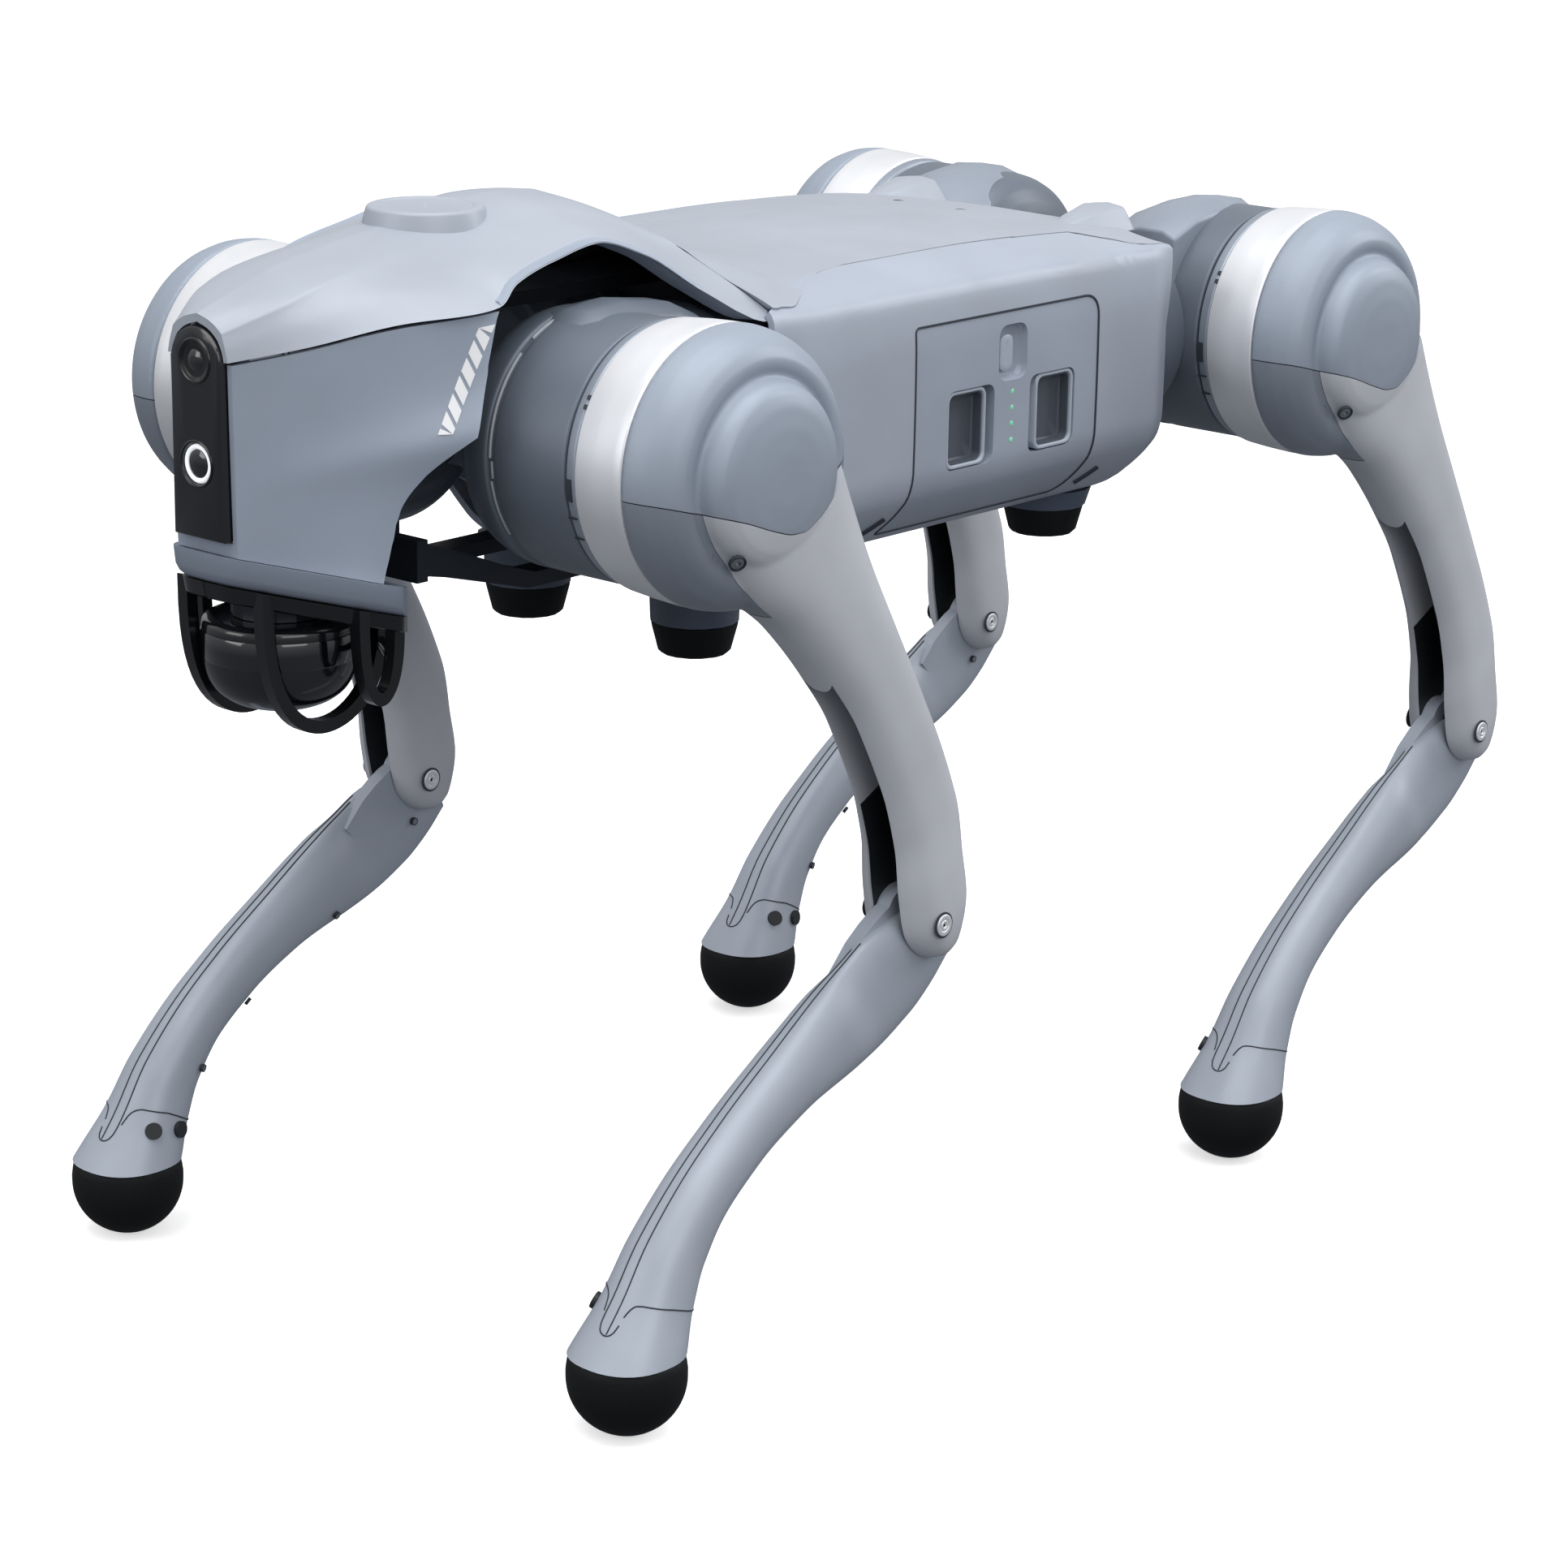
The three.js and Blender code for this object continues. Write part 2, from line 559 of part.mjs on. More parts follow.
function addThigh(name, group, side) {
  const head = turned(HEAD_PROFILE);
  const above = block([-80, 80], [-40, 40], [CAP_SPLIT + GAP / 2, 80]);
  const below = block([-80, 80], [-40, 40], [-300, CAP_SPLIT - GAP / 2]);
  const slot = thighSlot();
  const hub = bar([0, -30, 0], [0, 0, 0], 8.4, 8.4, 16);
  const pin = bar([0, -30, -THIGH], [0, 30, -THIGH], 4.2, 4.2, SMALL);
  const cut = slot.add(hub).add(pin);
  add(`${name}_thigh_cap`, head.intersect(above).subtract(cut), FINISH.shell, group, side);
  const shell = head.add(thighBeam()).intersect(below).subtract(cut);
  add(`${name}_thigh_shell`, shell, FINISH.thigh, group, side);
  const motor = turned([[0, -45.7], [48.6, -45.7], [50.4, -43.5], [52.2, -24], [52.8, -16 - GAP],
    [0, -16 - GAP]]).subtract(bar([0, -17.5, 0], [0, 0, 0], 8.6, 8.6, 16));
  add(`${name}_knee_motor`, motor, FINISH.silver, group, side);
  const bolt = bar([0, -18.8, -THIGH], [0, 18.8, -THIGH], 3.9, 3.9, SMALL)
    .add(bar([0, 18.6, -THIGH], [0, 20.2, -THIGH], 7, 6.4, 16))
    .add(bar([0, -20.2, -THIGH], [0, -18.6, -THIGH], 6.4, 7, 16));
  add(`${name}_knee_pin`, bolt, FINISH.steel, group, side);
}

// The crank pin and the lever pin both point away from the calf, so the rod stays parallel.
const LEVER = [-LINKAGE_R * Math.sin(rad(CALF_REST)), LINKAGE_R * Math.cos(rad(CALF_REST))];

function addCrank(name, group, side) {
  const shaft = bar([0, -17, 0], [0, -6.7, 0], 8, 8, 16);
  const disc = bar([0, -6.8, 0], [0, -0.4, 0], 11, 11, 16);
  const eye = bar([LEVER[0], -6.8, LEVER[1]], [LEVER[0], -0.4, LEVER[1]], 5, 5, SMALL);
  const pin = bar([LEVER[0], -1, LEVER[1]], [LEVER[0], 6.4, LEVER[1]], 2.4, 2.4, SMALL);
  const web = bar([0, -3.6, 0], [LEVER[0], -3.6, LEVER[1]], 3, 3, 8);
  add(`${name}_knee_crank`, shaft.add(disc).add(eye).add(web).add(pin), FINISH.steel, group, side);
}

function addRod(name, group, side) {
  const [x, z] = LEVER;
  const ends = [z, z - THIGH];
  let rod = block([x - 2.6, x + 2.6], [0.6, 5.4], [ends[1], ends[0]]);
  for (const end of ends) rod = rod.add(bar([x, 0.3, end], [x, 5.7, end], 5, 5, SMALL));
  for (const end of ends) rod = rod.subtract(bar([x, -5, end], [x, 12, end], 2.8, 2.8, SMALL));
  add(`${name}_push_rod`, rod, FINISH.steel, group, side);
}

function addCalf(name, group, side) {
  const rings = CALF_SECTIONS.map(([forward, down, tilt, deep, half]) => {
    const [c, s] = [Math.cos(rad(tilt)), Math.sin(rad(tilt))];
    return superRing(16, 0.9, (u, v) => [forward + deep * u * c, v * half, -down - deep * u * s]);
  });
  const body = loft(rings);
  const tongue = block([-12, 13], [-6.8, -0.2], [-30, 0]);
  const hub = bar([0, -6.8, 0], [0, -0.2, 0], 12, 12, 20);
  const lever = block([-5, 5], [-6.8, -0.2], [0, LINKAGE_R]);
  const eye = bar([0, -6.8, LINKAGE_R], [0, -0.2, LINKAGE_R], 5, 5, SMALL);
  const pin = bar([0, -1, LINKAGE_R], [0, 6.4, LINKAGE_R], 2.4, 2.4, SMALL);
  const bore = bar([0, -20, 0], [0, 20, 0], 4.2, 4.2, SMALL);
  let calf = body.add(tongue).add(hub).subtract(bore).add(lever.subtract(bore)).add(eye).add(pin);
  const socket = geometryOf(bar([0, 0, -5], [0, 0, 16], 10.4, 10.4, 16));
  socket.rotateY(SHIN).translate(0, 0, -CALF);
  calf = calf.subtract(solid(socket));
  add(`${name}_calf`, calf, FINISH.calf, group, side);
}

function addFoot(name, group, side) {
  const arc = [];
  const steps = 4;
  for (let i = 0; i <= steps; i += 1) {
    const t = (Math.PI / 2) * (i / steps);
    arc.push([FOOT_R * Math.sin(t), -FOOT_R * Math.cos(t)]);
  }
  arc[0][0] = 0;
  const profile = [...arc, [FOOT_R, 2], [21.8, 8.6], [10, 8.6], [10, 15], [0, 15]];
  const shape = geometryOf(turned(profile, 16)).rotateX(Math.PI / 2);
  shape.rotateY(SHIN).translate(0, 0, -CALF);
  add(`${name}_foot`, solid(shape), FINISH.rubber, group, side);
}

// The hip link: a flange on the roll axis that carries the thigh motor's housing.
function hipLinkShape() {
  const flange = bar([-64.6, 0, 0], [-48, 0, 0], 43, 43, 24);
  const neck = bar([-52, 0, 0], [-20, 6, 0], 36, 30, 20);
  const drum = turned([[0, -14], [34, -14], [44, -9], [48.6, -3], [49.6, 4], [48, 9], [49, 12], [RING_R, 20],
    [RING_R, 49.2], [0, 49.2]]);
  return flange.add(neck).add(drum);
}

function addLeg(end, side) {
  const name = `${end > 0 ? 'front' : 'rear'}_${side > 0 ? 'left' : 'right'}`;
  const hip = new THREE.Group();
  hip.position.set(end * HIP_X, side * HIP_Y, 0);
  dog.add(hip);
  const motorX = [BULKHEAD + BULKHEAD_THICK + GAP - HIP_X, TRUNK_FRONT - HIP_X];
  const motor = bar([motorX[0], 0, 0], [motorX[1], 0, 0], HIP_MOTOR_R, HIP_MOTOR_R, 24);
  const flip = (shape) => solid(geometryOf(shape).scale(end, 1, 1));
  add(`${name}_hip_motor`, flip(motor), FINISH.darkMotor, hip, side);
  add(`${name}_hip_link`, flip(hipLinkShape()), FINISH.darkMotor, hip, side);
  const thigh = new THREE.Group();
  thigh.position.set(0, side * LEG_OFFSET, 0);
  thigh.rotation.y = rad(THIGH_REST);
  hip.add(thigh);
  addThigh(name, thigh, side);
  addCrank(name, thigh, side);
  addRod(name, thigh, side);
  const calf = new THREE.Group();
  calf.position.set(0, 0, -THIGH);
  calf.rotation.y = -rad(CALF_REST);
  thigh.add(calf);
  addCalf(name, calf, side);
  addFoot(name, calf, side);
}

addCovers();
addFace();
addSensorPanel();
addChin();
addGuard();
addTrunkShell();
addChassis();
addPads();
addBoard();
addBattery();
for (const end of [1, -1]) {
  for (const side of [1, -1]) addLeg(end, side);
}

export default dog;
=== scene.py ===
"""Looks of the quadruped robot dog: visual pieces, finishes, light and camera around its CAD frame."""
import math
from functools import cache

import bmesh
import bpy
from mathutils import Matrix, Vector


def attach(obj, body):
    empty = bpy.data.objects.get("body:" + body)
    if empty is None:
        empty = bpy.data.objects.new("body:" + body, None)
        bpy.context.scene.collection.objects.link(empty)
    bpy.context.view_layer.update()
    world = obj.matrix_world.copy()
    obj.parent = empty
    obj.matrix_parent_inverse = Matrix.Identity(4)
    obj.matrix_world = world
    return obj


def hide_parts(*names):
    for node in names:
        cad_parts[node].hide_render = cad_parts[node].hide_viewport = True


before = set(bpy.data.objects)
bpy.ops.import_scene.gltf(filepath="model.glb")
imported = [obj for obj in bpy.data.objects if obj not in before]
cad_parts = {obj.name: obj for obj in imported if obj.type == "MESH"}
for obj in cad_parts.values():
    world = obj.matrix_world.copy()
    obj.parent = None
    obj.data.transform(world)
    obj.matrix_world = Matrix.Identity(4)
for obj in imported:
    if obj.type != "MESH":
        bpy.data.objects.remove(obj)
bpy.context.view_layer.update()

# ---------- Camera ----------
CAMERA_AT = Vector((1.29644, 1.12730, 0.68057))
CAMERA_TO = Vector((-0.00493, 0.0, 0.17905))
CAMERA_ROLL = math.radians(1.01)
CAMERA_LENS = 96.617
CAMERA_SHIFT = (-0.0008, -0.0128)

# ---------- Dimensions, in millimetres from the middle between the hip joints ----------
MIDDLE_X = -13.6
HIP_HEIGHT = 356.046
HIP = (193.4, 46.5)
LEG_OFFSET = 95.5
LINK = 213.0
THIGH_REST = math.radians(26.5)
CALF_REST = math.radians(74.5)
SHIN = CALF_REST - THIGH_REST
FOOT_R = 22.9
WALL = 3.0
LEGS = [(end, side) for end in (1, -1) for side in (1, -1)]

TOP_LINE = [
    (332, 57), (309, 65), (295, 69.5), (281, 72.5), (244, 78), (231, 80), (209, 82.5), (185, 85.5),
    (165, 84.5), (146, 78), (128, 66), (110, 57), (60, 55), (0, 57), (-79, 53), (-109, 50), (-126, 47),
]
CREASE_Y = [
    (332, 13), (309, 23.5), (295, 25), (281, 24.5), (244, 23), (209, 23), (185, 26), (165, 34),
    (146, 52), (128, 70), (110, 74), (0, 74), (-79, 70), (-126, 68),
]
CREASE_Z = [
    (332, 51), (309, 61), (295, 65.5), (281, 68.5), (244, 74), (231, 76), (209, 78.5), (185, 81.5),
    (165, 79), (146, 70), (128, 58), (110, 51.5), (0, 51.5), (-79, 49.5), (-126, 45.5),
]
EDGE_Y = [
    (332, 16), (309, 33), (281, 49), (244, 64), (231, 60), (209, 57.5), (185, 57), (165, 63),
    (146, 74), (128, 90), (110, 94), (-100, 94), (-126, 91),
]
EDGE_Z = [
    (332, 41), (309, 46), (281, 52.5), (244, 56.5), (231, 63), (209, 68.5), (185, 72.5), (165, 66),
    (146, 52), (128, 40.3), (-126, 40.3),
]
GROOVE_Y = [
    (128, 91), (119, 87.5), (108, 82), (96, 77), (82, 73), (65, 70.5), (-80, 70.5), (-98, 78),
    (-114, 88), (-126, 90),
]
SEAM_LOW = (123, 42)
SEAM_HIGH = (157, 86)
COVER_FRONT = 332
COVER_REAR = 140
SEAM_GAP = 0.35
TRUNK_FRONT = 128
TRUNK_REAR = -126


def curve(points):
    """Smooth curve without overshoot through (x, value) points, as a function of x."""
    points = sorted(points)
    xs = [p[0] for p in points]
    ys = [p[1] for p in points]
    gaps = [b - a for a, b in zip(xs, xs[1:])]
    rise = [(b - a) / g for a, b, g in zip(ys, ys[1:], gaps)]
    slopes = [rise[0]]
    for left, right, g0, g1 in zip(rise, rise[1:], gaps, gaps[1:]):
        if left * right <= 0:
            slopes.append(0.0)
            continue
        w0, w1 = 2 * g1 + g0, g1 + 2 * g0
        slopes.append((w0 + w1) / (w0 / left + w1 / right))
    slopes.append(rise[-1])

    def at(x):
        if x <= xs[0]:
            return ys[0]
        if x >= xs[-1]:
            return ys[-1]
        i = max(k for k in range(len(gaps)) if xs[k] <= x)
        t = (x - xs[i]) / gaps[i]
        keep = (1 + 2 * t) * (1 - t) ** 2 * ys[i] + t * t * (3 - 2 * t) * ys[i + 1]
        return keep + gaps[i] * (t * (1 - t) ** 2 * slopes[i] - t * t * (1 - t) * slopes[i + 1])

    return at


def smooth_path(points, count):
    """Evenly spread points on a smooth path through the given points of any size."""
    lengths = [0.0]
    for a, b in zip(points, points[1:]):
        lengths.append(lengths[-1] + max(math.dist(a, b), 1e-3))
    parts = [curve(list(zip(lengths, axis))) for axis in zip(*points)]
    steps = [lengths[-1] * i / (count - 1) for i in range(count)]
    return [tuple(part(s) for part in parts) for s in steps]


def mix(a, b, t):
    return a + (b - a) * t


top_line = curve(TOP_LINE)
crease_y = curve(CREASE_Y)
crease_z = curve(CREASE_Z)
edge_y = curve(EDGE_Y)
edge_z = curve(EDGE_Z)
groove_y = curve(GROOVE_Y)


# ---------- Meshes ----------
def mesh_from(parts):
    """One mesh from a list of (points, faces) parts, with its faces turned outward."""
    bm = bmesh.new()
    for points, faces in parts:
        corners = [bm.verts.new(p) for p in points]
        for face in faces:
            bm.faces.new([corners[i] for i in face])
    bmesh.ops.remove_doubles(bm, verts=bm.verts, dist=1e-4)
    bmesh.ops.recalc_face_normals(bm, faces=bm.faces)
    mesh = bpy.data.meshes.new("piece")
    bm.to_mesh(mesh)
    bm.free()
    return mesh


def loft(rings, closed=False):
    """Skin through rings of points. The two ends are filled, or joined up when closed is set."""
    count = len(rings[0])
    points = [p for ring in rings for p in ring]
    faces = []
    spans = len(rings) if closed else len(rings) - 1
    for k in range(spans):
        low, high = k * count, (k + 1) % len(rings) * count
        for i in range(count):
            j = (i + 1) % count
            faces.append((low + i, low + j, high + j, high + i))
    if not closed:
        faces.append(tuple(range(count - 1, -1, -1)))
        faces.append(tuple(range(len(points) - count, len(points))))
    return points, faces


def circle(radius, y, count=64, centre=(0, 0)):
    steps = [2 * math.pi * i / count for i in range(count)]
    return [(centre[0] + radius * math.sin(t), y, centre[1] + radius * math.cos(t)) for t in steps]


def turned(profile, count=64, centre=(0, 0)):
    """Turned piece about the Y axis from (radius, y) pairs."""
    return loft([circle(max(r, 0.05), y, count, centre) for r, y in profile])


def bend(start, middle, end, steps):
    """Points of a curve from start to end that leans towards middle."""
    points = []
    for i in range(steps + 1):
        t = i / steps
        points.append(tuple(
            (1 - t) ** 2 * s + 2 * t * (1 - t) * m + t * t * e for s, m, e in zip(start, middle, end)
        ))
    return points


def rounded(profile, radius=0.8, steps=3):
    """The profile with its inner corners rounded off."""
    out = [profile[0]]
    for a, b, c in zip(profile, profile[1:], profile[2:]):
        before = min(radius, math.dist(a, b) * 0.45) / max(math.dist(a, b), 1e-6)
        after = min(radius, math.dist(b, c) * 0.45) / max(math.dist(b, c), 1e-6)
        start = tuple(mix(q, p, before) for p, q in zip(a, b))
        end = tuple(mix(p, q, after) for p, q in zip(b, c))
        out += bend(start, b, end, steps)
    out.append(profile[-1])
    return out


def outline(corners, steps=6):
    """Closed flat outline from (u, v, corner radius) corners."""
    out = []
    count = len(corners)
    for i in range(count):
        a, b, c = corners[i - 1][:2], corners[i], corners[(i + 1) % count][:2]
        centre, radius = b[:2], max(b[2], 0.05)
        start = [mix(q, p, min(0.5, radius / math.dist(a, centre))) for p, q in zip(a, centre)]
        end = [mix(q, p, min(0.5, radius / math.dist(c, centre))) for p, q in zip(c, centre)]
        out += bend(start, centre, end, steps)
    return out


def slab(corners, levels, place, steps=6):
    """Plate with a rounded outline. Levels are (inset, depth) pairs; place maps u, v, depth to a point."""
    middle = (
        sum(c[0] for c in corners) / len(corners),
        sum(c[1] for c in corners) / len(corners),
    )
    half = (
        max(abs(c[0] - middle[0]) for c in corners),
        max(abs(c[1] - middle[1]) for c in corners),
    )
    rings = []
    for inset, depth in levels:
        ring = []
        for u, v in outline(corners, steps):
            du = (u - middle[0]) * (1 - inset / half[0])
            dv = (v - middle[1]) * (1 - inset / half[1])
            ring.append(place(middle[0] + du, middle[1] + dv, depth))
        rings.append(ring)
    return loft(rings)


def tube(path, radius, count=8):
    """Round bar along a path of points."""
    rings = []
    side = None
    for i, p in enumerate(path):
        ahead = Vector(path[min(i + 1, len(path) - 1)]) - Vector(path[max(i - 1, 0)])
        ahead.normalize()
        if side is None:
            side = ahead.orthogonal().normalized()
        side = (side - ahead * side.dot(ahead)).normalized()
        other = ahead.cross(side)
        turn = [2 * math.pi * k / count for k in range(count)]
        rings.append([
            tuple(Vector(p) + side * radius * math.cos(t) + other * radius * math.sin(t)) for t in turn
        ])
    return loft(rings)


def block(x, y, z):
    ring = [(x[0], z[0]), (x[1], z[0]), (x[1], z[1]), (x[0], z[1])]
    return loft([[(u, depth, v) for u, v in ring] for depth in y])


def moved(part, matrix):
    points, faces = part
    return [tuple(matrix @ Vector(p)) for p in points], faces


def add_object(name, data):
    obj = bpy.data.objects.new(name, data)
    bpy.context.scene.collection.objects.link(obj)
    return obj


def modified_mesh(obj):
    """A new mesh that has the object's modifiers applied."""
    graph = bpy.context.evaluated_depsgraph_get()
    return bpy.data.meshes.new_from_object(obj.evaluated_get(graph))


def boolean(mesh, cutter, operation="DIFFERENCE"):
    """The mesh cut by, joined to or kept inside the cutter."""
    body = add_object("cut_body", mesh)
    tool = add_object("cut_tool", cutter)
    step = body.modifiers.new("cut", "BOOLEAN")
    step.operation = operation
    step.object = tool
    step.solver = "EXACT"
    result = modified_mesh(body)
    for obj in (body, tool):
        bpy.data.objects.remove(obj)
    return result


def remeshed(mesh, voxel, passes):
    """The mesh rebuilt as one even skin and relaxed, so joined volumes blend into each other."""
    body = add_object("skin", mesh)
    step = body.modifiers.new("skin", "REMESH")
    step.mode = "VOXEL"
    step.voxel_size = voxel
    relax = body.modifiers.new("relax", "SMOOTH")
    relax.factor = 0.5
    relax.iterations = passes
    result = modified_mesh(body)
    bpy.data.objects.remove(body)
    return result


DOG = Matrix.Scale(0.001, 4) @ Matrix.Translation((MIDDLE_X, 0, HIP_HEIGHT))
IDENTITY = Matrix.Identity(4)


def emit(name, mesh, look, body, replaces=(), matrix=IDENTITY, bevel=0.0, sharp=35):
    """Adds a finished piece: places it, rounds its edges, gives it its finish and ties it to its body."""
    if isinstance(mesh, list):
        mesh = mesh_from(mesh)
    mesh = mesh.copy()
    place = DOG @ matrix
    mesh.transform(place)
    if place.determinant() < 0:
        mesh.flip_normals()
    bm = bmesh.new()
    bm.from_mesh(mesh)
    for edge in bm.edges:
        edge.smooth = edge.calc_face_angle(0.0) < math.radians(sharp)
    for face in bm.faces:
        face.smooth = True
        face.material_index = 0
    bm.to_mesh(mesh)
    bm.free()
    mesh.materials.clear()
    mesh.materials.append(FINISH[look])
    obj = add_object(name, mesh)
    if bevel:
        step = obj.modifiers.new("edge", "BEVEL")
        step.width = bevel * 0.001
        step.segments = 2
        step.limit_method = "ANGLE"
        step.angle_limit = math.radians(sharp)
        step.harden_normals = True
    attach(obj, body)
    if replaces:
        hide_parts(*replaces)


def side_label(side):
    return "left" if side > 0 else "right"


# ---------- Finishes ----------
def linear(hexcode):
    channels = [(hexcode >> shift & 255) / 255 for shift in (16, 8, 0)]
    return tuple(
        c / 12.92 if c <= 0.04045 else ((c + 0.055) / 1.055) ** 2.4 for c in channels
    ) + (1.0,)


def shade(color, factor):
    return tuple(min(1.0, c * factor) for c in color[:3]) + (1.0,)


def shader_of(material):
    return material.node_tree.nodes["Principled BSDF"]


def set_inputs(node, values):
    for name, value in values.items():
        node.inputs[name].default_value = value


def add_node(tree, kind, **values):
    node = tree.nodes.new(kind)
    for key, value in values.items():
        setattr(node, key, value)
    return node


def noise(tree, scale, detail=4.0, stretch=(1, 1, 1)):
    where = add_node(tree, "ShaderNodeTexCoord")
    mapping = add_node(tree, "ShaderNodeMapping")
    mapping.inputs["Scale"].default_value = stretch
    texture = add_node(tree, "ShaderNodeTexNoise")
    texture.inputs["Scale"].default_value = scale
    texture.inputs["Detail"].default_value = detail
    tree.links.new(where.outputs["Object"], mapping.inputs["Vector"])
    tree.links.new(mapping.outputs["Vector"], texture.inputs["Vector"])
    return texture.outputs["Fac"]


def ramp(tree, factor, stops):
    node = add_node(tree, "ShaderNodeValToRGB")
    while len(node.color_ramp.elements) < len(stops):
        node.color_ramp.elements.new(0.5)
    for element, (position, color) in zip(node.color_ramp.elements, stops):
        element.position = position
        element.color = color
    tree.links.new(factor, node.inputs["Fac"])
    return node.outputs["Color"]


def finish(name, hexcode, rough, metal=0.0, grain=900, bump=0.06, wear=1.25, coat=0.0, stretch=(1, 1, 1),
           spread=0.07, patch=22):
    """Procedural finish: soft colour drift, worn lighter edges, uneven gloss and fine surface grain."""
    material = bpy.data.materials.new(name)
    material.use_nodes = True
    tree = material.node_tree
    shader = shader_of(material)
    color = linear(hexcode)
    drift = ramp(tree, noise(tree, patch), [(0.3, shade(color, 0.95)), (0.7, shade(color, 1.05))])
    edges = add_node(tree, "ShaderNodeNewGeometry").outputs["Pointiness"]
    worn = ramp(tree, edges, [(0.56, (0, 0, 0, 1)), (0.7, (0.4, 0.4, 0.4, 1))])
    blend = add_node(tree, "ShaderNodeMix", data_type="RGBA")
    colors = [s for s in blend.inputs if s.type == "RGBA"]
    colors[1].default_value = shade(color, wear)
    tree.links.new(worn, blend.inputs["Factor"])
    tree.links.new(drift, colors[0])
    result = [s for s in blend.outputs if s.type == "RGBA"][0]
    tree.links.new(result, shader.inputs["Base Color"])
    gloss = add_node(tree, "ShaderNodeMapRange")
    set_inputs(gloss, {"To Min": max(0.03, rough - spread), "To Max": rough + spread})
    tree.links.new(noise(tree, 130, 6.0, stretch), gloss.inputs["Value"])
    tree.links.new(gloss.outputs["Result"], shader.inputs["Roughness"])
    relief = add_node(tree, "ShaderNodeBump")
    set_inputs(relief, {"Strength": bump, "Distance": 0.0004})
    tree.links.new(noise(tree, grain, 3.0, stretch), relief.inputs["Height"])
    tree.links.new(relief.outputs["Normal"], shader.inputs["Normal"])
    set_inputs(shader, {"Metallic": metal, "Coat Weight": coat, "Coat Roughness": 0.12})
    return material


FINISH = {
    "shell": finish("blue_grey_satin_paint", 0xA2A9B4, 0.42, metal=0.05, coat=0.05),
    # Face and arch lips: a darker copy of the head cover's paint, painted shade on the cheek sides and
    # under the lips.
    "face": finish("face_paint_painted_shade", 0x97A1B0, 0.42, metal=0.05, coat=0.05),
    # Chin: darker still than the face paint, painted shade of the chin ring under the head.
    "chin": finish("chin_paint_painted_shade", 0x848E9D, 0.45, metal=0.05),
    "side": finish("side_satin_paint", 0xA3ABB8, 0.42, metal=0.05),
    "battery": finish("battery_satin_paint", 0x9CA5B3, 0.42, metal=0.05),
    # Motor skirt: a darker, half-metal copy of the thigh's grey, painted shade on the inner side of the
    # thigh head.
    "skirt": finish("motor_skirt_painted_shade", 0x949CA8, 0.38, metal=0.4),
    "thigh": finish("warm_grey_moulded_plastic", 0xBEC1C8, 0.48, grain=1300),
    "cap": finish("motor_cap_paint", 0x959FAD, 0.45, metal=0.1),
    "calf": finish("calf_coated_metal", 0xA8B0BC, 0.42, metal=0.1),
    "dark": finish("dark_grey_motor_paint", 0x67707C, 0.42, metal=0.15),
    # Rear hip bridges: a lighter paint than the front ones, painted light on their tops.
    "bridge": finish("hip_bridge_painted_light", 0x8E97A4, 0.42, metal=0.1),
    "silver": finish("satin_silver", 0xEAECF0, 0.4, metal=0.5, stretch=(1, 6, 1), bump=0.015, spread=0.04),
    "collar": finish("blasted_collar_metal", 0x99A2AE, 0.42, metal=0.5),
    "black": finish("gloss_black_plastic", 0x0B0C0F, 0.2, coat=0.4, wear=2.0, spread=0.04),
    "panel": finish("sensor_panel_black", 0x17191D, 0.14, coat=0.6, wear=1.5, spread=0.03),
    "rubber": finish("foot_rubber", 0x0F1114, 0.66, grain=500, bump=0.3, wear=1.8),
    "pad": finish("pad_blue_grey", 0x4A5464, 0.4, grain=1100),
    "cup": finish("finger_cup_grey", 0xA9B2BF, 0.38),
    "frame": finish("anodised_frame", 0x2B3038, 0.4, metal=0.5),
    "steel": finish("turned_steel", 0x9FA3AA, 0.34, metal=0.9, stretch=(20, 1, 20)),
    "seam": finish("seam_shadow", 0x2A303A, 0.6, wear=1.1),
    "grip": finish("finger_grip_grey", 0x4C535D, 0.5, grain=1400),
    # Slot sheets and calf recesses: near black, painted shade inside the thigh slot and the calf's round
    # recesses.
    "recess_shade": finish("painted_shade_near_black", 0x1B1E23, 0.5, wear=1.3),
    "decal": finish("white_print", 0xF2F3F5, 0.4, bump=0.02, wear=1.0),
    "dash": finish("grey_print", 0xC4C9D0, 0.4, bump=0.02, wear=1.0),
    "board": finish("circuit_board_green", 0x24523C, 0.5),
}
set_inputs(shader_of(FINISH["rubber"]), {"Specular IOR Level": 0.2})


def glowing(name, hexcode, strength):
    material = finish(name, hexcode, 0.25, spread=0.05)
    set_inputs(shader_of(material), {"Emission Color": linear(hexcode), "Emission Strength": strength})
    return material


FINISH["led"] = glowing("green_charge_light", 0x7FD3A6, 0.12)
FINISH["lamp"] = glowing("head_lamp_diffuser", 0xEEF2F6, 0.5)


def glass(name, hexcode):
    material = finish(name, hexcode, 0.06, coat=1.0, bump=0.0, wear=1.0, spread=0.02)
    set_inputs(shader_of(material), {"IOR": 1.6})
    return material


FINISH["lens"] = glass("lens_coated_glass", 0x0A0D14)


# ---------- Covers of the trunk ----------
def cover_section(x, inset=0.0):
    """Half of a cover's section, from the ridge over the crease to the edge, as (y, z)."""
    top = top_line(x) - inset
    ey = edge_y(x) - inset
    ez = edge_z(x)
    cy = crease_y(x) - inset * 0.6
    cz = max(crease_z(x) - inset, ez + 1)
    ridge = [(0, top), (cy * 0.5, mix(top, cz, 0.3)), (cy * 0.86, mix(top, cz, 0.74))]
    turn = [(cy * 0.975, mix(top, cz, 0.95)), (cy, cz)]
    side = (mix(cy, ey, 0.58), mix(cz, ez, 0.5))
    after = (mix(cy, side[0], 0.05), mix(cz, side[1], 0.07))
    return ridge + turn + [after, side, (ey, ez)]


